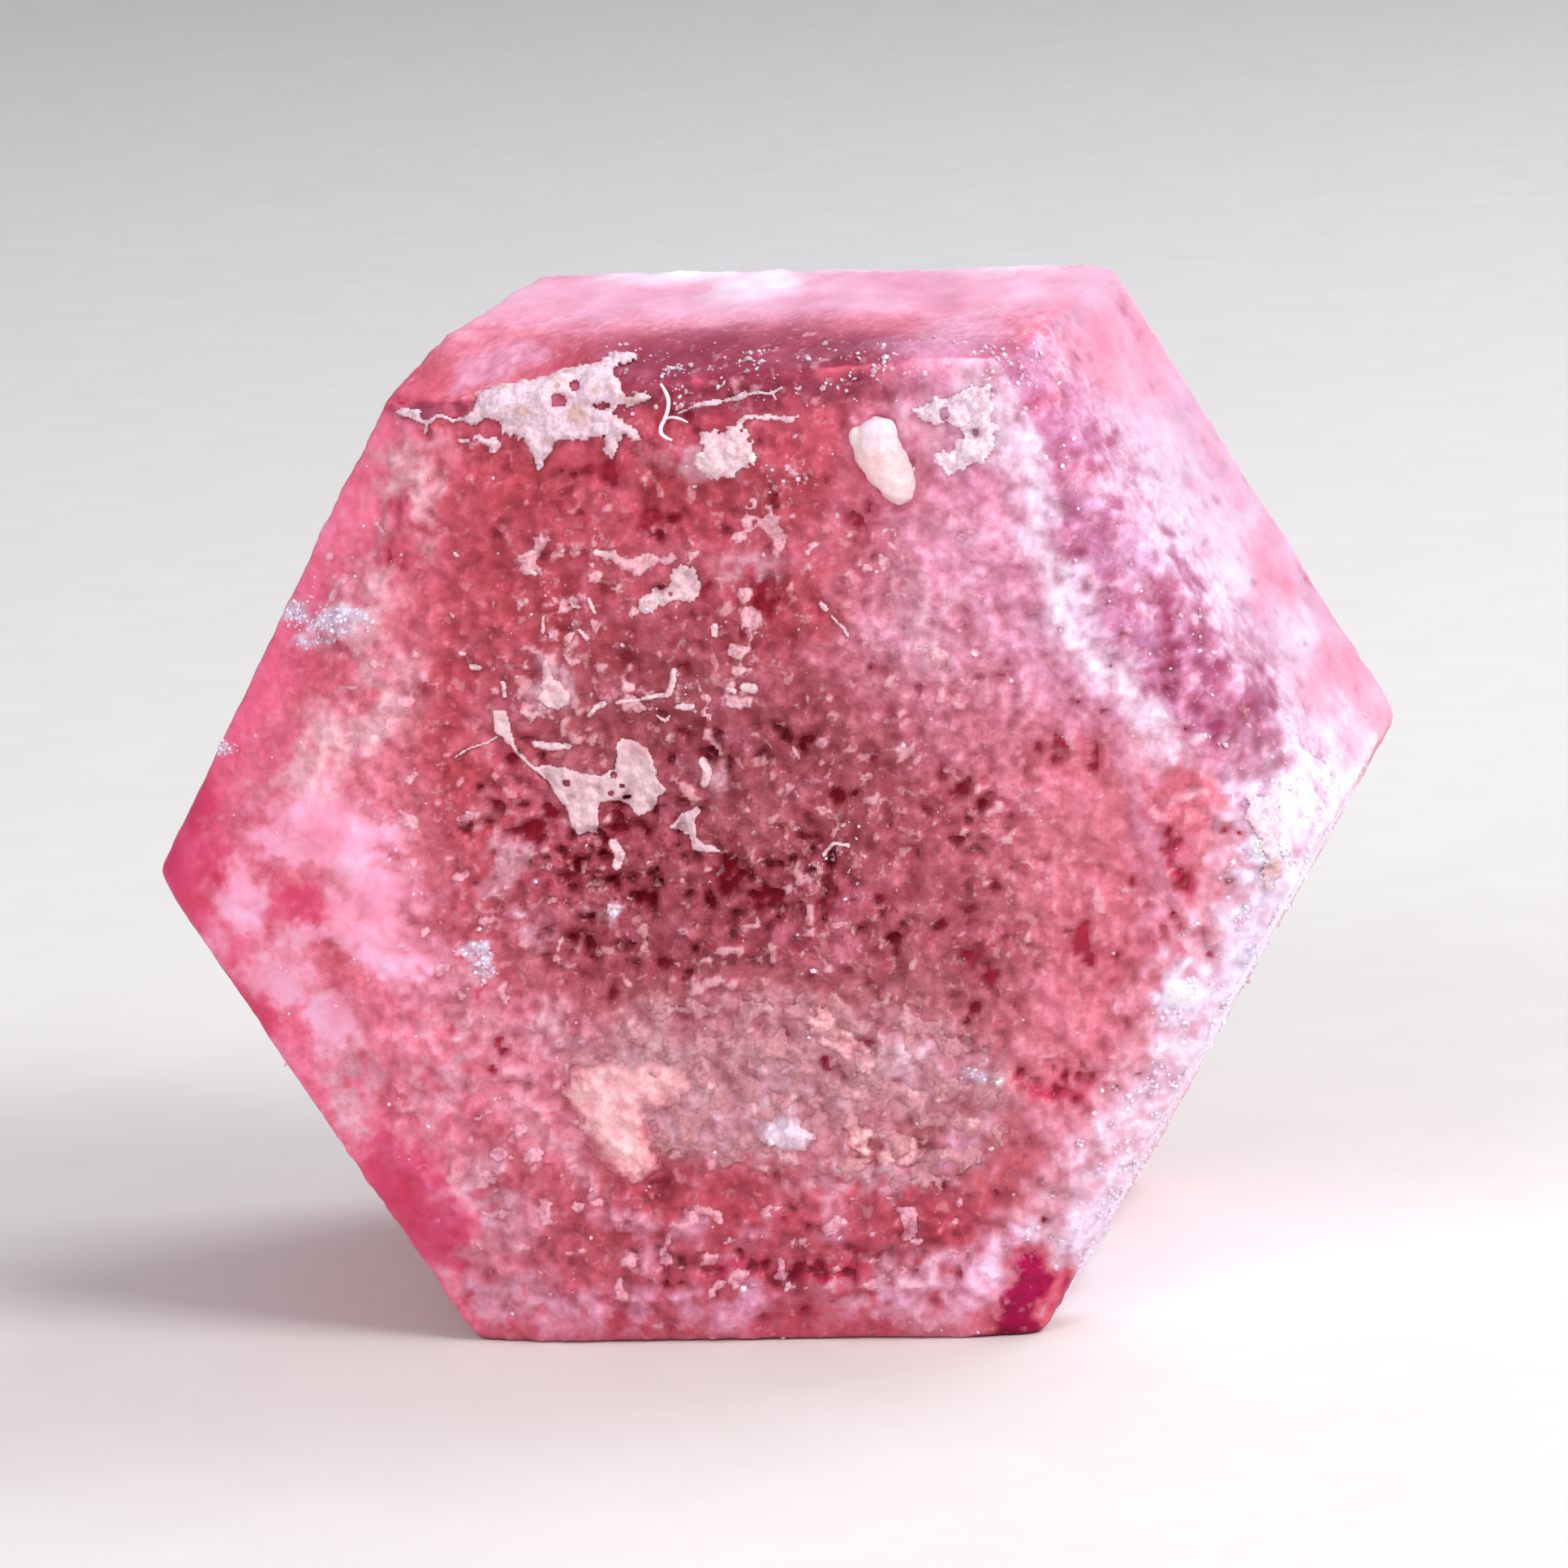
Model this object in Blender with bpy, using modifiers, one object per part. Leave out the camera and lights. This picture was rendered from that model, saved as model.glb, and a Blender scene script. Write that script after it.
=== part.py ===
"""Red beryl crystal: a stubby six-sided prism with crust from its host rock still clinging to it.

The crystal lies on one of its prism faces. Its long axis runs along Y, the flat end face looks
to -Y, +Z is up, and the origin is on the floor under the middle of the whole piece.
"""
from math import cos, radians, sin

import bmesh
import bpy
from mathutils import Matrix, Vector

MM = 0.001

# The six prism faces, counter-clockwise from the upper right one: direction and distance from the axis
FACE_DIRECTIONS = (29.7, 88.9, 150.2, 211.3, 270.0, 328.6)
FACE_DISTANCES = (3.71 * MM, 3.59 * MM, 3.71 * MM, 3.74 * MM, 3.63 * MM, 3.64 * MM)
LENGTH = 5.30 * MM
AXIS_HEIGHT = FACE_DISTANCES[4]
EDGE_WEAR = 0.07 * MM
# Corners closer together than this are one corner
SAME_CORNER = 0.001 * MM

# Facets worn round the front face: direction, distance of the inner ridge from the axis, and lean
# away from the front face
FRONT_FACETS = (
    (93.2, 3.44 * MM, 78.5),
    (25.0, 3.42 * MM, 60.0),
    (152.0, 3.15 * MM, 27.0),
    (212.0, 2.80 * MM, 14.0),
    (270.0, 3.35 * MM, 22.0),
    (330.0, 3.25 * MM, 28.0),
)
BACK_FACET_INSET = 0.30 * MM
BACK_FACET_LEAN = 42.0

# The hollow etched into the front face
HOLLOW_DEPTH = 0.06 * MM
HOLLOW_OUTLINE = ((-1.8, 0.4), (-1.8, -1.1), (-1.7, -2.0), (-1.3, -2.56), (-0.5, -2.64), (0.9, -2.6),
                  (2.1, -2.2), (3.0, -1.0), (3.1, 0.0), (2.8, 0.8), (2.3, 1.6), (1.8, 2.4),
                  (0.4, 2.6), (-1.2, 2.6), (-2.0, 2.1), (-2.1, 1.2))

# The crusts stand this far out of the crystal at most, and keep a fine gap to it
CRUST_REACH = 0.16 * MM
GAP = 0.015 * MM
# How far back over an edge a crust can creep
CRUST_CREEP = 0.70 * MM
FRONT = -(LENGTH - CRUST_REACH) / 2
BACK = FRONT + LENGTH

# Crusts that follow the crystal over its edges: thickness, and outline in millimetres from the axis
WRAPPING_CRUSTS = {
    "edge_crust": (CRUST_REACH - GAP, (
        (-2.28, 3.34), (-1.82, 3.29), (-1.72, 3.42), (-1.58, 3.52), (-1.25, 3.58), (-0.92, 3.60),
        (-0.50, 3.72), (-0.42, 3.64), (-0.58, 3.46), (-0.34, 3.41), (-0.36, 3.32), (-0.56, 3.27),
        (-0.40, 3.05), (-0.60, 3.07), (-0.68, 2.92), (-0.82, 3.06), (-1.14, 3.05), (-1.26, 2.86),
        (-1.38, 3.02), (-1.80, 3.05), (-1.78, 3.20), (-2.28, 3.26))),
    "ledge_crust": (0.06 * MM, (
        (-0.08, 3.32), (0.30, 3.38), (0.46, 3.46), (0.62, 3.42), (0.62, 3.28), (0.44, 3.32),
        (0.30, 3.31), (-0.08, 3.25))),
    "corner_crust": (0.12 * MM, (
        (1.58, 3.20), (1.80, 3.30), (2.12, 3.34), (2.20, 3.10), (2.14, 2.86), (1.94, 2.68),
        (1.70, 2.74), (1.56, 2.92))),
    "side_crust": (0.10 * MM, (
        (3.72, 0.30), (3.90, 0.34), (4.02, 0.16), (3.96, -0.08), (4.00, -0.32), (3.84, -0.44),
        (3.74, -0.28), (3.80, -0.02))),
    "middle_crust": (0.08 * MM, (
        (-0.02, 3.10), (0.10, 3.16), (0.24, 3.08), (0.26, 3.20), (0.64, 3.22), (0.64, 3.16),
        (0.34, 3.13), (0.44, 2.94), (0.36, 2.74), (0.14, 2.70), (-0.04, 2.82), (0.04, 2.96))),
}

# Flakes and crusts that lie in the hollow: thickness, and outline in millimetres from the axis
FLAT_CRUSTS = {
    "upper_flake": (0.05 * MM, (
        (-0.60, 1.80), (-0.46, 1.94), (-0.32, 2.16), (-0.14, 2.14), (-0.06, 1.98), (-0.18, 1.88),
        (-0.36, 1.86), (-0.50, 1.72))),
    "web_flake": (0.04 * MM, (
        (-1.76, 1.10), (-1.66, 1.14), (-1.60, 0.96), (-1.38, 0.72), (-1.14, 0.64), (-0.94, 0.68),
        (-0.86, 0.90), (-0.62, 0.94), (-0.58, 0.76), (-0.46, 0.60), (-0.56, 0.44), (-0.80, 0.46),
        (-0.92, 0.26), (-1.10, 0.12), (-1.22, 0.22), (-1.20, 0.44), (-1.46, 0.64), (-1.70, 0.94))),
    "forked_flake": (0.04 * MM, (
        (-0.48, 0.38), (-0.34, 0.30), (-0.20, 0.32), (-0.10, 0.42), (-0.02, 0.38), (-0.12, 0.26),
        (-0.12, 0.10), (-0.02, -0.02), (-0.12, -0.04), (-0.24, 0.12), (-0.38, 0.22))),
    "left_pink_crust": (0.09 * MM, (
        (-1.40, -1.50), (-1.10, -1.38), (-0.74, -1.42), (-0.38, -1.52), (-0.40, -1.86),
        (-0.62, -2.00), (-0.64, -2.34), (-0.84, -2.48), (-1.06, -2.36), (-1.22, -2.04),
        (-1.38, -1.80))),
    "right_pink_crust": (0.06 * MM, (
        (0.28, -1.20), (0.56, -1.14), (0.86, -1.36), (1.14, -1.48), (1.10, -1.66), (0.84, -1.80),
        (0.68, -1.56), (0.38, -1.40))),
    "lower_pink_crust": (0.06 * MM, (
        (0.74, -1.98), (1.06, -2.00), (1.42, -2.10), (1.34, -2.28), (1.06, -2.40), (0.84, -2.24))),
    "white_speck": (0.07 * MM, (
        (0.10, -2.06), (0.28, -1.98), (0.48, -2.04), (0.46, -2.20), (0.28, -2.26), (0.12, -2.20))),
}

GRAIN_CENTRE = (1.31 * MM, 2.87 * MM)
GRAIN_SEMI_AXES = (0.18 * MM, 0.15 * MM, 0.31 * MM)
GRAIN_TURN = 24.0

FIBRE_RADIUS = 0.018 * MM
FIBRE_STANDOFF = 0.06 * MM
FIBRE_ROUTE = ((-0.28, 3.46), (-0.22, 3.36), (-0.24, 3.26), (-0.29, 3.17), (-0.31, 3.09), (-0.21, 3.05))

BERYL = ("red beryl", (0.62, 0.10, 0.17), 0.35)
WHITE_CRUST = ("white crust", (0.80, 0.74, 0.72), 0.85)
CREAM_CRUST = ("cream crust", (0.78, 0.68, 0.58), 0.85)
PINK_CRUST = ("pink crust", (0.82, 0.42, 0.40), 0.80)
LINT = ("lint", (0.90, 0.84, 0.86), 0.90)

CRUST_MATERIALS = {
    "edge_crust": WHITE_CRUST, "ledge_crust": WHITE_CRUST, "corner_crust": CREAM_CRUST,
    "side_crust": WHITE_CRUST, "middle_crust": CREAM_CRUST, "upper_flake": WHITE_CRUST,
    "web_flake": WHITE_CRUST, "forked_flake": WHITE_CRUST, "left_pink_crust": PINK_CRUST,
    "right_pink_crust": PINK_CRUST, "lower_pink_crust": PINK_CRUST, "white_speck": WHITE_CRUST,
}


def clear_scene():
    for item in list(bpy.data.objects):
        bpy.data.objects.remove(item, do_unlink=True)


def new_collection(name):
    collection = bpy.data.collections.new(name)
    bpy.context.scene.collection.children.link(collection)
    return collection


def material(name, colour, roughness):
    """One plain Principled material, made once and shared by the pieces that use it."""
    found = bpy.data.materials.get(name)
    if found:
        return found
    made = bpy.data.materials.new(name)
    made.use_nodes = True
    shader = made.node_tree.nodes["Principled BSDF"]
    shader.inputs["Base Color"].default_value = (*colour, 1.0)
    shader.inputs["Roughness"].default_value = roughness
    shader.inputs["Metallic"].default_value = 0.0
    return made


def outward(direction):
    """Unit vector across the axis, at an angle in degrees from +X towards +Z."""
    return Vector((cos(radians(direction)), 0, sin(radians(direction))))


def on_axis(y):
    return Vector((0, y, AXIS_HEIGHT))


def cleave(body, point, normal):
    """Cut a body along a plane, throw the outer side away and close the cut with one face."""
    everything = body.verts[:] + body.edges[:] + body.faces[:]
    cut = bmesh.ops.bisect_plane(body, geom=everything, plane_co=point, plane_no=normal, clear_outer=True)
    rim = [item for item in cut["geom_cut"] if isinstance(item, bmesh.types.BMEdge)]
    if rim:
        bmesh.ops.edgeloop_fill(body, edges=rim)


def crystal_body(grow):
    """The prism cleaved out of a block, with every face moved outward by grow."""
    body = bmesh.new()
    block = 3 * max(FACE_DISTANCES)
    bmesh.ops.create_cube(body, size=block, matrix=Matrix.Translation(on_axis(0)))
    for direction, distance in zip(FACE_DIRECTIONS, FACE_DISTANCES):
        side = outward(direction)
        cleave(body, on_axis(0) + side * (distance + grow), side)
    forward = Vector((0, -1, 0))
    cleave(body, on_axis(FRONT - grow), forward)
    cleave(body, on_axis(BACK + grow), -forward)
    for direction, ridge, lean in FRONT_FACETS:
        side = outward(direction)
        normal = forward * cos(radians(lean)) + side * sin(radians(lean))
        cleave(body, on_axis(FRONT) + side * ridge + normal * grow, normal)
    for direction, distance in zip(FACE_DIRECTIONS, FACE_DISTANCES):
        side = outward(direction)
        normal = side * sin(radians(BACK_FACET_LEAN)) - forward * cos(radians(BACK_FACET_LEAN))
        ridge = distance - BACK_FACET_INSET
        cleave(body, on_axis(BACK) + side * ridge + normal * grow, normal)
    bmesh.ops.remove_doubles(body, verts=body.verts, dist=SAME_CORNER)
    bmesh.ops.recalc_face_normals(body, faces=body.faces)
    return body


def object_from(body, name, collection):
    mesh = bpy.data.meshes.new(name)
    body.to_mesh(mesh)
    body.free()
    item = bpy.data.objects.new(name, mesh)
    collection.objects.link(item)
    return item


def make_cutter(item):
    item.display_type = "WIRE"
    item.hide_render = True


def outline_slab(name, outline, near, far, collection):
    """A closed outline drawn across the axis as a smooth 2D curve, reaching from near to far along Y."""
    curve = bpy.data.curves.new(name, "CURVE")
    curve.dimensions = "2D"
    curve.fill_mode = "BOTH"
    curve.resolution_u = 3
    curve.extrude = (far - near) / 2
    spline = curve.splines.new("BEZIER")
    spline.bezier_points.add(len(outline) - 1)
    spline.use_cyclic_u = True
    for point, (across, up) in zip(spline.bezier_points, outline):
        point.co = (across * MM, up * MM, 0)
        point.handle_left_type = "AUTO"
        point.handle_right_type = "AUTO"
    item = bpy.data.objects.new(name, curve)
    collection.objects.link(item)
    item.location = on_axis((near + far) / 2)
    item.rotation_euler = (radians(90), 0, 0)
    return item


def mesh_from_curve(item, collection):
    """Trade a filled curve for a closed mesh in the same place."""
    bpy.context.view_layer.update()
    evaluated = item.evaluated_get(bpy.context.evaluated_depsgraph_get())
    mesh = bpy.data.meshes.new_from_object(evaluated)
    body = bmesh.new()
    body.from_mesh(mesh)
    bmesh.ops.remove_doubles(body, verts=body.verts, dist=SAME_CORNER)
    bmesh.ops.recalc_face_normals(body, faces=body.faces)
    body.to_mesh(mesh)
    body.free()
    solid = bpy.data.objects.new(item.name + "_solid", mesh)
    solid.matrix_world = item.matrix_world
    collection.objects.link(solid)
    name = item.name
    bpy.data.objects.remove(item, do_unlink=True)
    solid.name = name
    return solid


def cut_away(item, cutter, operation="DIFFERENCE"):
    boolean = item.modifiers.new("cut by " + cutter.name, "BOOLEAN")
    boolean.operation = operation
    boolean.solver = "EXACT"
    boolean.object = cutter


def build_crystal(parts, cutters):
    crystal = object_from(crystal_body(0.0), "crystal", parts)
    wear = crystal.modifiers.new("worn edges", "BEVEL")
    wear.width = EDGE_WEAR
    wear.segments = 2
    wear.limit_method = "ANGLE"
    wear.angle_limit = radians(20)
    hollow = outline_slab("hollow", HOLLOW_OUTLINE, FRONT - MM, FRONT + HOLLOW_DEPTH, cutters)
    hollow = mesh_from_curve(hollow, cutters)
    make_cutter(hollow)
    cut_away(crystal, hollow)
    crystal.data.materials.append(material(*BERYL))


def build_wrapping_crusts(parts, cutters, room):
    """Crusts of even thickness: an outline trimmed to a skin between two sizes of the crystal."""
    for name, (thickness, outline) in WRAPPING_CRUSTS.items():
        slab = outline_slab(name, outline, FRONT - 2 * CRUST_REACH, FRONT + CRUST_CREEP, parts)
        crust = mesh_from_curve(slab, parts)
        limit = object_from(crystal_body(GAP + thickness), name + "_limit", cutters)
        make_cutter(limit)
        cut_away(crust, limit, "INTERSECT")
        cut_away(crust, room)
        crust.data.materials.append(material(*CRUST_MATERIALS[name]))


def build_flat_crusts(parts):
    """Thin crusts and flakes that lie on the floor of the hollow."""
    floor = FRONT + HOLLOW_DEPTH - GAP
    for name, (thickness, outline) in FLAT_CRUSTS.items():
        flake = outline_slab(name, outline, floor - thickness, floor, parts)
        flake.data.materials.append(material(*CRUST_MATERIALS[name]))


def build_grain(parts, room):
    """The cream grain: an egg-shaped lump set against the front face."""
    body = bmesh.new()
    bmesh.ops.create_uvsphere(body, u_segments=16, v_segments=10, radius=1.0)
    bmesh.ops.scale(body, vec=GRAIN_SEMI_AXES, verts=body.verts)
    bmesh.ops.rotate(body, cent=(0, 0, 0), matrix=Matrix.Rotation(radians(-GRAIN_TURN), 3, "Y"),
                     verts=body.verts)
    grain = object_from(body, "cream_grain", parts)
    grain.location = on_axis(FRONT) + Vector((GRAIN_CENTRE[0], 0, GRAIN_CENTRE[1]))
    cut_away(grain, room)
    grain.data.materials.append(material(*CREAM_CRUST))


def build_fibre(parts):
    """A short fibre of lint standing just clear of the front face."""
    curve = bpy.data.curves.new("fibre", "CURVE")
    curve.dimensions = "3D"
    curve.bevel_depth = FIBRE_RADIUS
    curve.bevel_resolution = 2
    curve.resolution_u = 4
    curve.use_fill_caps = True
    spline = curve.splines.new("BEZIER")
    spline.bezier_points.add(len(FIBRE_ROUTE) - 1)
    for point, (across, up) in zip(spline.bezier_points, FIBRE_ROUTE):
        point.co = on_axis(FRONT - FIBRE_STANDOFF) + Vector((across * MM, 0, up * MM))
        point.handle_left_type = "AUTO"
        point.handle_right_type = "AUTO"
    fibre = bpy.data.objects.new("fibre", curve)
    parts.objects.link(fibre)
    fibre.data.materials.append(material(*LINT))


def main():
    clear_scene()
    parts = new_collection("red_beryl_crystal")
    cutters = new_collection("cutters")
    room = object_from(crystal_body(GAP), "crystal_room", cutters)
    make_cutter(room)
    build_crystal(parts, cutters)
    build_wrapping_crusts(parts, cutters, room)
    build_flat_crusts(parts)
    build_grain(parts, room)
    build_fibre(parts)


main()
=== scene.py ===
"""The looks of a red beryl crystal with crust from its host rock, lying on a pale floor."""

from math import cos, pi, radians, sin

import bpy
import numpy as np
from mathutils import Matrix, Quaternion, Vector, noise
from mathutils.bvhtree import BVHTree


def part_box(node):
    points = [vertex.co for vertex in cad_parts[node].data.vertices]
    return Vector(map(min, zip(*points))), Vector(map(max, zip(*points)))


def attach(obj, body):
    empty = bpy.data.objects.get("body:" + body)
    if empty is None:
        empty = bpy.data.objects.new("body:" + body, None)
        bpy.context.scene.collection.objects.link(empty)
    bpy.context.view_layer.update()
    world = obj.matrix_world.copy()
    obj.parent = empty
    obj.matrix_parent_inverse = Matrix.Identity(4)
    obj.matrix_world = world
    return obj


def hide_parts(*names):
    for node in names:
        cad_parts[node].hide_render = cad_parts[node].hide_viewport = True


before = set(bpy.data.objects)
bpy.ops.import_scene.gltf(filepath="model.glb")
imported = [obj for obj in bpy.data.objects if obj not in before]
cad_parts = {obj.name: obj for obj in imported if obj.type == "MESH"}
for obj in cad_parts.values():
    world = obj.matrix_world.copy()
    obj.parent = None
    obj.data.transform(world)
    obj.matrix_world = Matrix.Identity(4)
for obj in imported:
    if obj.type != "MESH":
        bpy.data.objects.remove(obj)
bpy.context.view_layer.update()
crystal_low, crystal_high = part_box("crystal")


# The camera looks almost straight down the crystal's long axis, from a little to the right and
# above, through a long lens: the flat end fills the view, and the top and upper right faces show.
MM = 0.001
FRONT_Y = crystal_low.y
AXIS_HEIGHT = 3.63 * MM
VIEW_AZIMUTH = radians(11.1)
VIEW_ELEVATION = radians(10.2)
VIEW_ROLL = radians(-3.54)
VIEW_DISTANCE = 61.1 * MM
AIM = Vector((0.44 * MM, FRONT_Y, AXIS_HEIGHT + 0.50 * MM))
towards_camera = Vector((sin(VIEW_AZIMUTH) * cos(VIEW_ELEVATION),
                         -cos(VIEW_AZIMUTH) * cos(VIEW_ELEVATION), sin(VIEW_ELEVATION)))
lens = bpy.data.cameras.new("long lens")
lens.sensor_width = 36.0
lens.lens = 195.9
lens.clip_start = 5 * MM
lens.clip_end = 5.0
camera = bpy.data.objects.new("camera", lens)
bpy.context.scene.collection.objects.link(camera)
camera.location = AIM + towards_camera * VIEW_DISTANCE
upright = towards_camera.to_track_quat("Z", "Y")
camera.rotation_mode = "QUATERNION"
camera.rotation_quaternion = upright @ Quaternion((0, 0, 1), VIEW_ROLL)
bpy.context.scene.camera = camera


# The floor is a wide pale sheet under soft studio light: a big key lamp high on the right, a fill
# at the camera's side, a lamp behind that silvers the far faces, and a pale sky all round.
FLOOR_SIZE = 1.6
bpy.ops.object.select_all(action="DESELECT")
bpy.ops.mesh.primitive_plane_add(size=FLOOR_SIZE, location=(0, 0, 0))
floor = bpy.context.object
floor.name = "floor"


def fill(tree, node, sockets):
    """Give sockets of a node a plain value or another node's output each."""
    for name, value in sockets.items():
        if isinstance(value, bpy.types.NodeSocket):
            tree.links.new(value, node.inputs[name])
        else:
            node.inputs[name].default_value = value


def put(tree, kind, sockets=None, **settings):
    """Add a shader node with its settings, and fill its sockets."""
    made = tree.nodes.new(kind)
    for name, value in settings.items():
        setattr(made, name, value)
    fill(tree, made, sockets or {})
    return made


def tone(red, green, blue):
    """A colour given in the 0 to 255 steps of a colour chart, as the shader wants it."""
    steps = (red / 255, green / 255, blue / 255)
    linear = [s / 12.92 if s <= 0.04045 else ((s + 0.055) / 1.055) ** 2.4 for s in steps]
    return (*linear, 1.0)


def grain(tree, where, size, detail=3.0, roughness=0.55):
    """Fractal noise with lumps about size millimetres across."""
    made = put(tree, "ShaderNodeTexNoise", {"Vector": where, "Scale": 1 / (size * MM), "Detail": detail,
                                            "Roughness": roughness})
    return made.outputs["Fac"]


def rise(tree, value, low, high):
    """Turn a value into a mask that rises evenly from low to high."""
    made = put(tree, "ShaderNodeMapRange", {"Value": value, "From Min": low, "From Max": high},
               interpolation_type="SMOOTHSTEP")
    return made.outputs["Result"]


def blend(tree, amount, under, over, kind="MIX"):
    """Lay one colour over another, as strongly as amount says."""
    made = put(tree, "ShaderNodeMix", {0: amount, 6: under, 7: over}, data_type="RGBA", blend_type=kind)
    return made.outputs[2]


def maths(tree, operation, first, second):
    return put(tree, "ShaderNodeMath", {0: first, 1: second}, operation=operation).outputs[0]


def times(tree, first, second):
    return maths(tree, "MULTIPLY", first, second)


def plus(tree, first, second):
    return maths(tree, "ADD", first, second)


def emboss(tree, shader, height, strength, rise_mm):
    """Fine bumps on the surface, up to rise_mm millimetres high."""
    bump = put(tree, "ShaderNodeBump", {"Height": height, "Strength": strength, "Distance": rise_mm * MM})
    fill(tree, shader, {"Normal": bump.outputs["Normal"]})


def let_light_in(tree, shader, weight, radius, reach):
    """Light that scatters below the surface: how much, its spread in red, green and blue, its reach."""
    fill(tree, shader, {"Subsurface Weight": weight, "Subsurface Radius": radius,
                        "Subsurface Scale": reach * MM})


def new_material(name):
    """A fresh material, its node tree, its main shader and the place on the piece."""
    made = bpy.data.materials.new(name)
    made.use_nodes = True
    tree = made.node_tree
    where = put(tree, "ShaderNodeTexCoord").outputs["Object"]
    return made, tree, tree.nodes["Principled BSDF"], where


paper, tree, shader, where = new_material("pale paper")
cloudy_paper = grain(tree, where, 1.1, 3.0)
colour = blend(tree, cloudy_paper, tone(226, 222, 218), tone(234, 231, 228))
fill(tree, shader, {"Base Color": colour, "Roughness": 0.85})
floor.data.materials.append(paper)

sky = bpy.data.worlds.new("pale sky")
bpy.context.scene.world = sky
sky.use_nodes = True
fill(sky.node_tree, sky.node_tree.nodes["Background"], {"Color": tone(232, 236, 245), "Strength": 0.48})


def soft_lamp(name, azimuth, elevation, distance, size, watts, colour):
    """A square area lamp that faces the crystal from an azimuth and elevation in degrees."""
    lamp = bpy.data.lights.new(name, "AREA")
    lamp.size = size
    lamp.energy = watts
    lamp.color = colour
    turn, lift = radians(azimuth), radians(elevation)
    away = Vector((sin(turn) * cos(lift), -cos(turn) * cos(lift), sin(lift)))
    item = bpy.data.objects.new(name, lamp)
    bpy.context.scene.collection.objects.link(item)
    item.location = Vector((0, 0, AXIS_HEIGHT)) + away * distance
    item.rotation_mode = "QUATERNION"
    item.rotation_quaternion = away.to_track_quat("Z", "Y")


# Name, azimuth, elevation, distance and size in metres, watts, colour
LAMPS = (("key lamp", 62, 38, 0.12, 0.05, 0.095, (1.0, 0.98, 0.98)),
         ("fill lamp", -15, 30, 0.14, 0.06, 0.062, (1.0, 0.97, 0.98)),
         ("back lamp", 130, 45, 0.12, 0.07, 0.070, (0.95, 0.96, 1.0)))
for lamp_values in LAMPS:
    soft_lamp(*lamp_values)
bpy.context.scene.view_settings.view_transform = "Standard"


# The crystal is one stubby six-sided prism of red beryl, grown by nature and worn on its edges.
# It is cleaved out of a block face by face, in millimetres from its long axis and its flat end,
# then its skin is etched, hollowed and chipped, and it is brought to its place in metres.
FACE_DIRECTIONS = (29.7, 88.9, 150.2, 211.3, 270.0, 328.6)
FACE_DISTANCES = (3.71, 3.59, 3.71, 3.74, 3.63, 3.64)
LENGTH = (crystal_high.y - crystal_low.y) / MM
# Worn facets round the front end: direction, how far out they start, degrees they lean back
FRONT_FACETS = ((93.2, 3.44, 78.5), (25.0, 3.42, 60.0), (152.0, 3.15, 27.0), (212.0, 2.80, 14.0),
                (270.0, 3.35, 22.0), (330.0, 3.25, 28.0))
BACK_FACET_INSET = 0.30
BACK_FACET_LEAN = 42.0
BLOCK = 14.0
SKIN_STEP = 0.116
CORNER_WEAR = 0.028

bpy.ops.object.select_all(action="DESELECT")
bpy.ops.mesh.primitive_cube_add(size=BLOCK, location=(0, LENGTH / 2, 0))
crystal = bpy.context.object
crystal.name = "red_beryl"
bpy.ops.object.transform_apply(location=True, rotation=False, scale=False)


def outward(direction):
    return Vector((cos(radians(direction)), 0, sin(radians(direction))))


forward = Vector((0, -1, 0))
cleavages = [(Vector((0, 0, 0)), forward), (Vector((0, LENGTH, 0)), -forward)]
for direction, distance in zip(FACE_DIRECTIONS, FACE_DISTANCES):
    side = outward(direction)
    lean = radians(BACK_FACET_LEAN)
    cleavages.append((side * distance, side))
    cleavages.append((side * (distance - BACK_FACET_INSET) - forward * LENGTH,
                      side * sin(lean) - forward * cos(lean)))
for direction, ridge, degrees_back in FRONT_FACETS:
    side = outward(direction)
    lean = radians(degrees_back)
    cleavages.append((side * ridge, forward * cos(lean) + side * sin(lean)))

bpy.ops.object.mode_set(mode="EDIT")
for point, normal in cleavages:
    bpy.ops.mesh.select_all(action="SELECT")
    bpy.ops.mesh.bisect(plane_co=point, plane_no=normal, use_fill=True, clear_outer=True)
bpy.ops.mesh.select_all(action="SELECT")
bpy.ops.mesh.remove_doubles(threshold=0.001)
bpy.ops.mesh.normals_make_consistent(inside=False)
bpy.ops.object.mode_set(mode="OBJECT")
skin = crystal.modifiers.new("fine skin", "REMESH")
skin.mode = "VOXEL"
skin.voxel_size = SKIN_STEP
bpy.ops.object.modifier_apply(modifier=skin.name)


def refine(mesh, wanted):
    """Split the faces for which wanted(centre, normal) holds, once each way."""
    bpy.ops.object.mode_set(mode="EDIT")
    bpy.ops.mesh.select_all(action="DESELECT")
    bpy.ops.object.mode_set(mode="OBJECT")
    for face in mesh.polygons:
        face.select = wanted(face.center, face.normal)
    bpy.ops.object.mode_set(mode="EDIT")
    bpy.ops.mesh.subdivide(number_cuts=1)
    bpy.ops.object.mode_set(mode="OBJECT")


FRONT_ZONE = 0.95
upper_faces = (outward(FACE_DIRECTIONS[0]), outward(FACE_DIRECTIONS[1]))


def at_front(centre, normal):
    return centre.y < FRONT_ZONE and normal.y < -0.15


def in_view(centre, normal):
    return at_front(centre, normal) or max(normal.dot(side) for side in upper_faces) > 0.8


mesh = crystal.data
refine(mesh, in_view)
refine(mesh, at_front)


def smooth(value, low, high):
    """0 below low, 1 above high, with an even rise between."""
    t = np.clip((value - low) / (high - low), 0, 1)
    return t * t * (3 - 2 * t)


def read_points(mesh):
    """All vertices and their outward directions, in millimetres."""
    points = np.empty(len(mesh.vertices) * 3)
    mesh.vertices.foreach_get("co", points)
    normals = np.empty(len(mesh.vertices) * 3)
    mesh.vertices.foreach_get("normal", normals)
    return points.reshape(-1, 3), normals.reshape(-1, 3)


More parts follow.
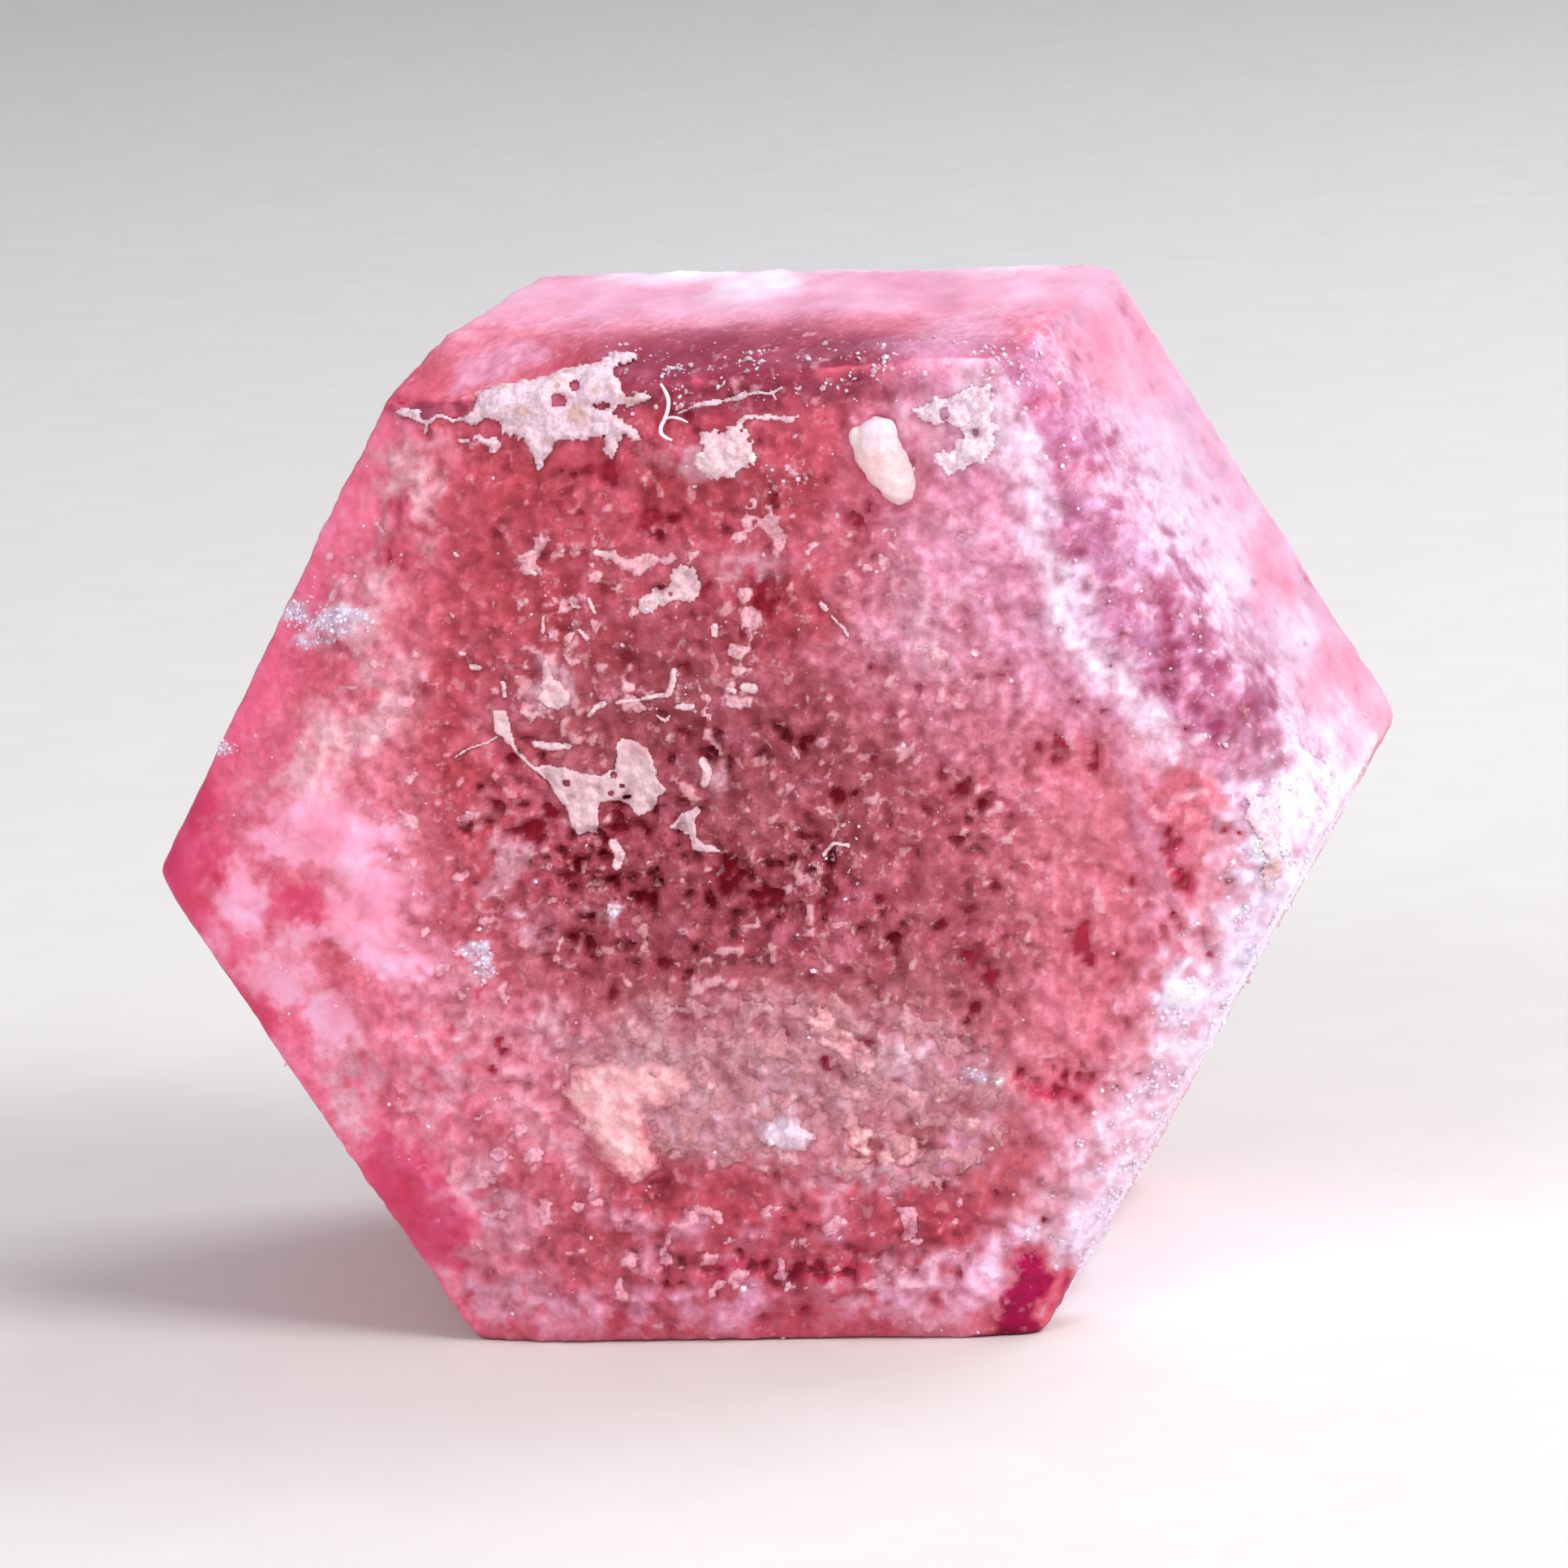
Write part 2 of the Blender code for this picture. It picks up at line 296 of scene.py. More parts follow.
def rough(points, size, octaves=3, shift=0.0):
    """Natural roughness, mostly between -1 and 1, with lumps about size across."""
    start = Vector((shift, shift * 1.7, -shift))
    return np.array([noise.fractal(Vector(p) / size + start, 1.0, 2.1, octaves) for p in points])


def to_line(x, z, line):
    """Distance across the end face from each point to a line of points."""
    best = np.full(len(x), 1e9)
    for (ax, az), (bx, bz) in zip(line, line[1:]):
        dx, dz = bx - ax, bz - az
        along = np.clip(((x - ax) * dx + (z - az) * dz) / (dx * dx + dz * dz), 0, 1)
        best = np.minimum(best, np.hypot(x - ax - along * dx, z - az - along * dz))
    return best


def depth_inside(x, z, outline):
    """Distance to a closed outline, positive inside it and negative outside."""
    within = np.zeros(len(x), bool)
    closed = outline + outline[:1]
    for (ax, az), (bx, bz) in zip(closed, closed[1:]):
        crosses = (az > z) != (bz > z)
        level = np.where(crosses, (z - az) / (bz - az + 1e-12), 0)
        within ^= crosses & (x < ax + level * (bx - ax))
    distance = to_line(x, z, closed)
    return np.where(within, distance, -distance)


def spots(x, z, *places):
    """Soft-edged spots on the end face: centre, half width and half height of each, joined together."""
    total = np.zeros(len(x))
    for cx, cz, half_width, half_height in places:
        reach = ((x - cx) / half_width) ** 2 + ((z - cz) / half_height) ** 2
        total = np.maximum(total, np.exp(-0.7 * reach ** 1.5))
    return total


# Draw the skin back onto the cleavage planes, rounding the corners where they meet
points, normals = read_points(mesh)
plane_normals = np.array([normal for point, normal in cleavages])
plane_levels = np.array([normal.dot(point) for point, normal in cleavages])
for _ in range(4):
    height = points @ plane_normals.T - plane_levels
    weight = np.exp((height - height.max(axis=1, keepdims=True)) / CORNER_WEAR)
    share = weight / weight.sum(axis=1, keepdims=True)
    level = height.max(axis=1) + CORNER_WEAR * np.log(weight.sum(axis=1))
    pull = share @ plane_normals
    points -= pull * (level / (pull ** 2).sum(axis=1))[:, None]
normals = pull / np.linalg.norm(pull, axis=1, keepdims=True)

# The end face: a shallow hollow, a bowed worn shoulder at the upper right, a swollen left ridge
HOLLOW = [(-1.85, 0.4), (-1.85, -1.1), (-1.7, -2.0), (-1.3, -2.6), (-0.5, -2.65), (0.9, -2.6), (2.1, -2.2),
          (3.0, -1.0), (3.2, 0.0), (2.8, 0.8), (2.3, 1.6), (1.8, 2.4), (0.4, 2.75), (-1.2, 2.8),
          (-2.0, 2.2), (-2.1, 1.2)]
HOLLOW_DEPTH = 0.06
SWELL_HEIGHT = 0.05
WAVE_HEIGHT = 0.018
KNOB_HEIGHT = 0.020
CREST_HEIGHT = 0.040
PIT_DEPTH = 0.03
ROTTEN_PIT_DEPTH = 0.04
WORN_RIDGE = [(2.22, 3.70), (2.28, 3.07), (2.40, 2.79), (2.50, 2.26), (2.62, 1.60), (3.00, 1.24),
              (3.15, 0.94), (3.33, 0.78), (3.53, 0.54), (3.85, 0.10)]
WORN_SLOPE = 0.85
WORN_LIP = 0.10
LEFT_RIDGE_WIDTH = 0.14
LEFT_RIDGE = [(-2.2, 2.6), (-2.35, 2.05), (-2.6, 1.7), (-2.6, 1.2), (-2.9, 0.9), (-3.05, 0.6)]
LEFT_BLOBS = ((-3.0, 0.25, 0.22, 0.18), (-2.7, 0.1, 0.2, 0.2), (-2.62, -0.25, 0.2, 0.2),
              (-3.75, -0.3, 0.14, 0.3), (-2.95, -0.5, 0.25, 0.12))
# Where the skin is rotten with pits, and where it is sound: spots as above, each with a strength
PITTED = ((-0.75, -0.20, 1.05, 0.65, 1.1), (-1.55, 0.55, 0.30, 0.45, 1.0), (0.1, 0.75, 0.45, 0.20, 1.1),
          (0.25, -0.35, 0.45, 0.30, 1.0), (0.9, 0.0, 0.8, 0.8, 0.5), (0.75, -0.85, 0.4, 0.2, 0.8),
          (2.2, 0.85, 0.25, 0.20, 0.6), (2.55, 0.60, 0.2, 0.12, 0.6), (1.85, 0.45, 0.3, 0.3, 0.8),
          (2.25, -0.15, 0.34, 0.24, 0.6), (2.40, -0.55, 0.34, 0.22, 0.38), (2.15, -0.75, 0.3, 0.2, 0.5),
          (3.22, -0.15, 0.06, 0.45, 2.0), (3.14, -0.75, 0.07, 0.25, 2.0), (1.9, 1.2, 0.4, 0.25, 0.8),
          (-0.9, 2.68, 0.32, 0.16, 1.6), (-0.42, 2.45, 0.3, 0.14, 1.5), (0.52, 2.58, 0.14, 0.12, 1.5),
          (0.42, 1.75, 0.20, 0.10, 1.7), (0.9, 2.3, 0.3, 0.25, 0.8), (1.45, 2.45, 0.3, 0.15, 1.2),
          (-0.2, 1.55, 0.5, 0.3, 0.7), (2.3, -1.72, 0.35, 0.12, 1.8), (1.95, -2.0, 0.2, 0.1, 1.2),
          (1.45, -2.15, 0.14, 0.10, 1.3), (1.75, -1.35, 0.35, 0.25, 0.9), (-0.2, -3.03, 0.4, 0.12, 1.7),
          (-0.75, -2.95, 0.2, 0.12, 1.5), (0.62, -3.05, 0.35, 0.12, 1.6), (0.35, -2.65, 0.3, 0.1, 1.1),
          (0.62, -1.55, 0.12, 0.08, 1.4), (-1.9, 0.25, 0.10, 0.25, 1.3), (-1.75, -1.55, 0.15, 0.3, 0.8),
          (1.85, 0.05, 0.3, 0.25, 0.7), (1.35, -0.6, 0.4, 0.2, 0.8), (1.5, -3.05, 0.3, 0.15, 1.0))
SOUND = ((2.0, 2.2, 0.6, 1.0, 1.3), (-2.5, 1.6, 0.45, 1.2, 1.0), (-2.3, -0.4, 0.5, 0.8, 1.2),
         (-1.9, 2.0, 0.4, 0.7, 0.8), (-2.3, -2.1, 0.5, 0.9, 1.0), (0.1, -1.9, 1.4, 0.35, 0.9),
         (-0.7, -1.5, 0.5, 0.3, 0.8), (-1.6, -2.9, 0.4, 0.3, 0.6))

# Roughness of many sizes, drawn out along the crystal's length as its growth lines are
STRETCH = np.array([1.0, 0.35, 1.0])
drawn_out = points * STRETCH
coarse = rough(drawn_out, 0.9, 3)
lumps = rough(drawn_out, 0.30, 3, 2.0)
etch = rough(drawn_out, 0.12, 3, 5.0)
broad = rough(drawn_out, 0.50, 1, 3.0) + rough(drawn_out, 0.24, 1, 4.0)
broad /= broad.std()
knobs = rough(drawn_out, 0.125, 1, 6.0) + 0.7 * rough(drawn_out, 0.07, 1, 7.0)
knobs /= knobs.std()
bumpy = (0.7 * broad + knobs) / 1.22
crumbs = 0.6 * rough(drawn_out, 0.36, 1, 8.0) + rough(drawn_out, 0.13, 1, 9.0)
crumbs += 0.9 * rough(drawn_out, 0.075, 1, 10.0)
crumbs /= crumbs.std()
x, y, z = points.T
warped_x = x + 0.10 * lumps + 0.05 * etch
warped_z = z + 0.10 * coarse - 0.05 * etch
facing_front = smooth(-normals[:, 1], 0.3, 0.7)
hollow = smooth(depth_inside(warped_x, warped_z, HOLLOW), -0.08, 0.14) * facing_front
glassy = smooth(-warped_x - 0.35 * np.abs(warped_z + 0.3), 2.2, 2.9) * facing_front
rotten = np.full(len(x), -0.3)
for places, sign in ((PITTED, 1), (SOUND, -1)):
    for cx, cz, half_width, half_height, strength in places:
        rotten += sign * strength * spots(warped_x, warped_z, (cx, cz, half_width, half_height))
pits = smooth(rotten - bumpy, 1.15, 2.6) * (1 - glassy) * facing_front
crests = smooth(crumbs + 0.3 * knobs, 1.1, 2.5) * (1 - 0.8 * glassy)

# The hollow is pressed in, and the left ridge and blobs swell out
left_ridge = np.exp(-(to_line(x, z, LEFT_RIDGE) / LEFT_RIDGE_WIDTH) ** 2)
points[:, 1] += HOLLOW_DEPTH * hollow
points[:, 1] -= SWELL_HEIGHT * left_ridge * facing_front
points[:, 1] -= SWELL_HEIGHT * spots(warped_x, warped_z, *LEFT_BLOBS) * facing_front

# The shoulder is worn back past a line across the upper right
worn_side = WORN_RIDGE + [(6.0, 0.0), (6.0, 6.0), (2.22, 6.0)]
beyond = np.maximum(depth_inside(x, z, worn_side) + 0.04 * etch, 0)
worn_depth = WORN_SLOPE * (np.hypot(beyond, WORN_LIP) - WORN_LIP)
worn = (y < FRONT_ZONE + 0.4) & (beyond > 0)
points[:, 1] = np.where(worn, np.maximum(points[:, 1], worn_depth), points[:, 1])

# Then the fine relief, weaker on the smooth left corner and along the edges, and flat where it rests
side_planes = np.array([outward(direction) for direction in FACE_DIRECTIONS])
inner = smooth((np.array(FACE_DISTANCES) - points @ side_planes.T).min(axis=1), 0.02, 0.40)
rugged = 0.25 + 0.75 * facing_front * (1 - glassy) * inner
pit_depth = PIT_DEPTH + ROTTEN_PIT_DEPTH * smooth(rotten, 0.0, 0.8)
relief = WAVE_HEIGHT * coarse + rugged * (KNOB_HEIGHT * bumpy + CREST_HEIGHT * crests - pit_depth * pits)
relief *= 1 - 0.65 * smooth(-x, 2.5, 3.5)
resting = smooth(normals[:, 2], -0.95, -0.75)
points += normals * (relief * (0.25 + 0.75 * resting))[:, None]
points[:, 2] = np.maximum(points[:, 2], -FACE_DISTANCES[4])
mesh.vertices.foreach_set("co", points.ravel())
mesh.update()


# The crystal's colour: clear crimson at the left corner and in small windows, elsewhere under a film
# of rose, brown and lavender dust of many thicknesses, with pits that show the red depth and pale
# crumbs on top, and a painted sheen, painted highlights and painted glints where the faces catch the
# light. Each film is painted where it lies, and the finer grain comes from the material.
FILM_ROSE = tone(206, 88, 108)
FILM_PINK = tone(234, 134, 160)
FILM_MARGIN = tone(248, 120, 154)
FILM_VEIL = tone(226, 166, 178)
FILM_RED = tone(180, 68, 80)
FILM_BROWN = tone(160, 76, 86)
FILM_SALMON = tone(220, 122, 142)
FILM_PALE = tone(228, 156, 186)
FILM_LAVENDER = tone(237, 210, 231)
FILM_BEIGE = tone(194, 136, 146)
FILM_LILAC = tone(190, 122, 158)
FILM_PLUM = tone(162, 80, 112)
PLUM_DEPTH = tone(138, 54, 86)
# Frost white, laid for real frost and also for painted highlights, sheen and glints
FROST_AND_HIGHLIGHT = tone(238, 230, 255)
MILKY_PINK = tone(255, 178, 208)
MILKY_GREY = tone(226, 172, 190)
CRIMSON = tone(255, 62, 122)
CHERRY = tone(226, 34, 88)
CORNER_CRIMSON = tone(160, 0, 68)
FILM_WINE = tone(132, 46, 70)
DARK_RED = tone(116, 14, 38)

# Where the films lie: soft-edged spots (centre x, centre z, half width, half height) and lines
BROWN_AREA = ((0.4, 0.35, 1.7, 1.3), (-0.6, 1.0, 1.2, 0.9), (-0.3, -0.5, 1.4, 0.8), (1.3, -0.7, 0.9, 0.7))
RED_AREA = ((-1.3, 2.2, 0.9, 0.8), (-0.2, 2.65, 0.7, 0.4), (-1.95, 0.9, 0.3, 0.9), (-1.75, 0.2, 0.25, 0.5),
            (0.55, 1.75, 0.3, 0.25), (0.5, 2.6, 0.4, 0.3))
SALMON_AREA = ((2.4, -0.3, 0.9, 1.2), (1.9, 0.9, 0.8, 0.6), (1.2, 1.6, 0.4, 0.5))
PALE_AREA = ((1.95, 2.2, 0.65, 1.1), (1.5, 1.65, 0.35, 0.45), (2.5, 1.35, 0.5, 0.45), (1.9, 3.0, 0.6, 0.6))
RIDGE_SHADE = ((0.55, 3.36, 1.1, 0.15), (-0.25, 3.36, 0.5, 0.13), (-1.9, 3.3, 0.5, 0.1))
BEIGE_AREA = ((0.3, -1.65, 1.4, 0.55), (-0.6, -1.5, 0.6, 0.4), (1.5, -1.9, 0.6, 0.45),
              (-0.2, -2.1, 0.6, 0.2))
LOWER_AREA = ((-0.4, -2.95, 1.3, 0.45), (0.8, -2.9, 1.3, 0.4), (1.8, -2.4, 0.6, 0.5),
              (-0.8, -2.6, 0.6, 0.25))
LEFT_SALMON = (-2.4, 0.35, 0.45, 0.7)
PINK_AREA = ((-2.3, 0.9, 0.5, 1.2), (-2.35, 2.2, 0.4, 0.6), (-2.4, -1.6, 0.7, 0.8), (-1.8, -2.9, 0.5, 0.5),
             (-1.5, -1.6, 0.35, 0.7))
DARK_AREA = ((-0.85, -0.25, 0.95, 0.55), (0.25, -0.4, 0.7, 0.5), (0.1, 0.75, 0.5, 0.3))
MARGIN_LINE = [(-2.5, 3.2), (-3.3, 1.9), (-4.3, 0.2), (-3.95, -0.6)]
LOWER_MARGIN = [(-3.4, -1.6), (-2.9, -2.3), (-2.4, -3.1)]
WINDOWS = ((-4.25, 0.0, 0.42, 0.6), (-4.1, 0.40, 0.28, 0.35), (-4.15, -0.35, 0.2, 0.3),
           (-2.62, -2.45, 0.30, 0.40), (-2.35, -2.75, 0.25, 0.2), (-3.15, -0.25, 0.17, 0.14),
           (-3.55, -0.35, 0.16, 0.10))
THIN_WINDOWS = ((-3.9, 0.65, 0.2, 0.3), (-3.6, 1.05, 0.2, 0.3), (-3.4, 1.4, 0.14, 0.3),
                (-4.05, -0.1, 0.3, 0.3))
SMALL_WINDOWS = ((3.24, -0.22, 0.07, 0.22), (3.16, -0.76, 0.08, 0.16), (2.3, -1.72, 0.22, 0.08),
                 (-0.2, -3.03, 0.25, 0.08), (0.65, -3.05, 0.2, 0.08), (-1.86, -1.0, 0.06, 0.10))
CORNER_WINDOW = [(1.70, -3.8), (1.76, -3.55), (1.77, -3.30), (1.84, -3.24), (1.93, -3.17), (1.90, -3.06),
                 (1.95, -2.97), (2.05, -2.96), (2.11, -3.04), (2.12, -3.12), (2.19, -3.18), (2.17, -3.28),
                 (2.06, -3.33), (2.03, -3.43), (2.10, -3.55), (2.05, -3.8)]
CORNER_RIM = [(2.30, -3.18), (2.24, -3.36), (2.12, -3.56), (1.90, -3.60), (1.62, -3.60)]
CORNER_STRIP = [(-4.2, 0.6), (-4.38, 0.05), (-4.15, -0.40), (-3.85, -0.90), (-3.55, -1.40)]
MILK = ((-3.0, 0.32, 0.28, 0.25), (-2.72, 0.15, 0.25, 0.25), (-2.62, -0.30, 0.3, 0.3),
        (-3.64, -0.30, 0.16, 0.4), (-2.95, -0.55, 0.3, 0.14), (-2.45, -0.7, 0.3, 0.2),
        (-3.45, -0.85, 0.3, 0.2), (-3.05, -1.15, 0.2, 0.2), (-3.35, 0.25, 0.15, 0.2))
HAZE = ((1.62, 2.98, 0.20, 0.22), (-2.9, -1.7, 0.16, 0.4), (-2.2, -1.5, 0.25, 0.5),
        (-2.05, -2.55, 0.3, 0.35), (-1.85, -3.2, 0.35, 0.2), (-1.7, 0.10, 0.13, 0.32),
        (-2.45, -3.05, 0.25, 0.25), (0.15, -1.85, 0.28, 0.20), (-0.35, -2.0, 0.3, 0.12),
        (1.5, 1.68, 0.20, 0.35), (0.30, 2.10, 0.16, 0.14), (1.6, 1.4, 0.16, 0.14),
        (-1.22, 1.28, 0.12, 0.16), (1.2, -3.2, 0.5, 0.2), (-0.1, 0.55, 0.1, 0.14), (0.0, 2.85, 0.3, 0.12),
        (0.9, -2.4, 0.5, 0.14), (-1.35, -1.25, 0.2, 0.2), (1.3, -1.6, 0.3, 0.2), (-0.9, -0.38, 0.14, 0.08),
        (-1.45, -0.5, 0.12, 0.14), (1.8, -1.7, 0.15, 0.12))
PLUM_MARKS = ((3.28, 1.85, 0.14, 0.35), (3.40, 1.55, 0.22, 0.28), (3.60, 1.15, 0.22, 0.22),
              (3.80, 0.75, 0.22, 0.24), (3.90, 0.45, 0.14, 0.16), (2.85, 2.6, 0.12, 0.4))
PLUM_CORES = ((3.31, 1.70, 0.11, 0.08), (3.31, 1.50, 0.08, 0.22), (3.28, 1.24, 0.09, 0.21),
              (3.48, 1.57, 0.04, 0.14), (3.58, 1.27, 0.09, 0.09), (3.16, 1.12, 0.04, 0.09),
              (3.90, 0.98, 0.15, 0.12), (3.44, 0.99, 0.06, 0.06), (3.58, 0.80, 0.08, 0.09),
              (3.62, 0.66, 0.08, 0.11), (3.86, 0.68, 0.04, 0.14), (3.95, 0.48, 0.12, 0.11),
              (3.68, 0.47, 0.11, 0.06), (3.47, 0.50, 0.08, 0.09), (2.62, 2.40, 0.08, 0.09),
              (2.68, 2.15, 0.06, 0.12))
FAR_PAINTED_SHEEN = ((3.30, 2.45, 0.20, 0.5), (3.70, 1.95, 0.16, 0.4), (4.15, 1.25, 0.16, 0.35),
             (4.35, 0.45, 0.25, 0.3))
FAR_PINK = ((4.55, 1.05, 0.35, 0.35), (4.05, 1.95, 0.15, 0.3), (3.0, 3.5, 0.35, 0.35))
TOP_PAINTED_HIGHLIGHT = ((-0.35, 4.2, 0.35, 0.9), (1.5, 5.0, 0.35, 0.5), (-1.0, 4.9, 0.5, 0.5), (0.5, 5.2, 0.8, 0.3))
TOP_SHEEN_PATCHES = ((-0.3, 3.0, 0.7, 1.0), (0.6, 3.1, 0.8, 0.6), (-1.3, 2.6, 0.3, 0.8), (1.7, 1.6, 0.35, 1.4),
            (-1.55, 0.9, 0.25, 0.4), (1.3, 0.5, 0.5, 0.2), (1.9, 3.6, 0.4, 1.2))
LEFT_VEIL = [(-2.15, 2.85), (-2.22, 2.55), (-2.33, 2.25), (-2.50, 1.95), (-2.62, 1.70), (-2.58, 1.40),
             (-2.42, 1.18), (-2.65, 1.02), (-2.91, 0.93), (-3.10, 0.60)]
PALE_ARC = [(2.70, 1.0), (2.95, 0.6), (3.06, 0.1), (3.05, -0.5)]
GLINT_SPOTS = ((-3.05, 1.86, 0.10, 0.07), (-2.72, 1.78, 0.14, 0.07), (-2.85, 1.62, 0.18, 0.04),
         (-3.65, 0.93, 0.07, 0.05), (-1.88, -0.72, 0.05, 0.14), (-0.85, -0.40, 0.08, 0.04),
         (1.8, -1.72, 0.07, 0.06))
RIM_FROST = [(2.12, 3.25), (2.22, 2.90), (2.36, 2.50), (2.44, 2.20), (2.62, 1.75), (2.88, 1.35),
             (3.05, 1.05), (3.22, 0.70), (3.36, 0.30)]
BOTTOM_VEIL = [(-2.0, -3.25), (-1.0, -3.38), (0.1, -3.30), (1.0, -3.25), (1.65, -3.20), (1.95, -2.75)]
LOWER_ARC = [(-1.9, -0.9), (-1.75, -1.5), (-1.5, -2.0), (-1.2, -2.4)]
FROST_LINE = [(4.3, 0.45), (4.2, 0.1), (3.75, -0.9), (3.15, -1.95), (2.60, -2.80), (2.3, -3.3)]
SPECKLED = ((-0.45, 1.13, 0.5, 0.05), (-0.33, 1.25, 0.06, 0.10), (-1.15, 1.85, 0.2, 0.25),
            (-0.95, 1.65, 0.1, 0.15), (0.0, 1.6, 0.06, 0.06), (0.22, 1.2, 0.10, 0.08),
            (0.6, 2.75, 0.3, 0.15), (1.05, 1.9, 0.15, 0.1), (-1.88, -0.72, 0.08, 0.20),
            (-1.45, -0.42, 0.16, 0.12), (-0.9, -0.38, 0.16, 0.10), (-2.85, 1.85, 0.35, 0.16),
            (2.3, 2.65, 0.07, 0.3), (0.75, 0.0, 0.25, 0.2), (1.8, -1.7, 0.15, 0.12),
            (-3.65, 0.93, 0.12, 0.08))
THIN_FROST = (2.9, -2.1, 0.7, 0.8)
DUSK = ((0.1, 1.7, 1.4, 1.2), (-0.6, -2.95, 1.9, 0.6))
GLOOM = ((-0.75, -0.2, 1.3, 0.9), (0.3, 0.4, 1.2, 1.0))
CRACK = [(-0.33, 3.0), (-0.30, 2.8), (-0.34, 2.6)]
# How far behind the end face the worn shoulder and the lower right window reach
SHOULDER_REACH = 1.6
CORNER_REACH = 0.7

# Places are read off a drawing of the end face as the camera sees it, so each vertex is first
# carried along its line of sight onto the plane of the end face
camera_point = (camera.location - Vector((0, FRONT_Y, AXIS_HEIGHT))) / MM
eye = np.array(camera_point)
along = -eye[1] / (points[:, 1] - eye[1])
drawn = eye + (points - eye) * along[:, None]
depth_y = points[:, 1]
warped_x = drawn[:, 0] + 0.16 * lumps + 0.10 * etch
warped_z = drawn[:, 2] + 0.12 * coarse - 0.10 * etch + 0.08 * lumps
front = smooth(-normals[:, 1], 0.25, 0.6)
top = smooth(normals[:, 2], 0.6, 0.85)
upper_right = smooth(normals @ np.array(upper_faces[0]), 0.55, 0.85)
paint = np.tile(np.array(FILM_ROSE[:3]), (len(drawn), 1))


def lay_film(colour, amount):
    """Lay a film over what is painted already, as thick as amount says at each vertex."""
    thick = np.clip(amount, 0, 1)[:, None]
    paint[:] = paint * (1 - thick) + np.array(colour[:3]) * thick


def on_front(*places):
    """Soft-edged spots on the end face, bent by the roughness of the skin."""
    return spots(warped_x, warped_z, *places) * front


def near(line, width):
    """A soft-edged line on the crystal, bent in the same way."""
    return np.exp(-(to_line(warped_x, warped_z, line) / width) ** 2)


# The end face: pink to red all over, then a film of its own for each area
lay_film(FILM_PINK, smooth(coarse, -0.1, 0.5))
lay_film(FILM_RED, 0.7 * smooth(-coarse + 0.4 * lumps, 0.1, 0.5))
lay_film(FILM_ROSE, 0.6 * front)
lay_film(FILM_PINK, 0.5 * on_front(*PINK_AREA))
lay_film(FILM_SALMON, 0.7 * on_front(LEFT_SALMON))
lay_film(FILM_MARGIN, near(MARGIN_LINE, 0.62) * front)
lay_film(FILM_MARGIN, near(LOWER_MARGIN, 0.5) * front)
for film, share, area in ((FILM_SALMON, 1.0, SALMON_AREA), (FILM_BROWN, 0.95, BROWN_AREA),
                          (FILM_RED, 0.9, RED_AREA), (FILM_PALE, 0.8, PALE_AREA),
                          (FILM_BEIGE, 0.9, BEIGE_AREA)):
    lay_film(film, share * on_front(*area))
lower = on_front(*LOWER_AREA)
lay_film(FILM_RED, 0.65 * lower)
lay_film(FILM_PALE, 0.6 * lower * smooth(broad + 0.6 * coarse + 0.3 * crumbs, 0.3, 1.8))
lay_film(FILM_WINE, 0.5 * lower * smooth(-broad - 0.3 * crumbs, 0.5, 1.9))
lay_film(DARK_RED, 0.35 * on_front(*DARK_AREA))

# The worn shoulder and the upper right face: lilac and lavender with plum marks and pink far off, and a
# painted sheen of paler lavender to the back and white patches far off
over_ridge = depth_inside(warped_x, warped_z, worn_side)
lay_film(FILM_PALE, 0.7 * smooth(over_ridge, -1.1, -0.3) * front * smooth(warped_z, 0.4, 1.6))
lay_film(FILM_LAVENDER, 0.95 * smooth(over_ridge, -0.45, -0.05) * front * smooth(warped_z, 0.2, 1.0))
lay_film(FILM_WINE, 0.85 * on_front(*RIDGE_SHADE))
shoulder = np.maximum(smooth(over_ridge, -0.10, 0.22) * (depth_y < SHOULDER_REACH), upper_right)
lay_film(FILM_LILAC, shoulder)
# Painted sheen: paler lavender towards the back of the upper right face, and white patches far off
lay_film(FILM_LAVENDER, 0.3 * upper_right * smooth(depth_y + 1.2 * coarse + 0.8 * lumps, 0.2, 1.6))
lay_film(FROST_AND_HIGHLIGHT, 0.40 * upper_right * spots(warped_x, warped_z, *FAR_PAINTED_SHEEN))
lay_film(FILM_PINK, 0.8 * upper_right * spots(warped_x, warped_z, *FAR_PINK))
plum = spots(warped_x, warped_z, *PLUM_MARKS) - 0.18 * knobs - 0.22 * crumbs
lay_film(FILM_PLUM, 0.8 * shoulder * smooth(plum, 0.1, 1.1))
cores = spots(drawn[:, 0] + 0.05 * etch, drawn[:, 2] + 0.05 * lumps, *PLUM_CORES)
lay_film(PLUM_DEPTH, 0.9 * shoulder * cores * smooth(crumbs, 2.2, -0.4))

# The top face: rose near its front edge, paler to the back and in patches as a painted sheen, darker wine
# under the ridge, and white painted highlight streaks far back
lay_film(FILM_ROSE, top)
# Painted sheen: the top face grows pink, then pale, towards the back and in pale patches
lay_film(FILM_PINK, top * smooth(depth_y + 0.5 * coarse, 0.5, 2.2))
lay_film(FILM_PALE, 0.8 * top * smooth(depth_y + 0.7 * coarse, 1.7, 3.9))
lay_film(FILM_PALE, 0.85 * top * spots(points[:, 0] + 0.3 * lumps, depth_y + 0.5 * lumps, *TOP_SHEEN_PATCHES))
wine = smooth(2.4 - depth_y + 0.8 * coarse, 0, 1.8) * smooth(1.6 - np.abs(drawn[:, 0] - 0.35), 0, 0.9)
lay_film(FILM_WINE, 0.9 * top * wine)
lay_film(FILM_LILAC, 0.6 * top * smooth(drawn[:, 0] + 0.3 * lumps, 1.0, 1.9) * smooth(1.4 - depth_y, 0, 1.0))
# Painted highlight: white streaks far back on the top face
lay_film(FROST_AND_HIGHLIGHT, 0.75 * top * spots(points[:, 0] + 0.2 * lumps, depth_y + 0.3 * lumps, *TOP_PAINTED_HIGHLIGHT))
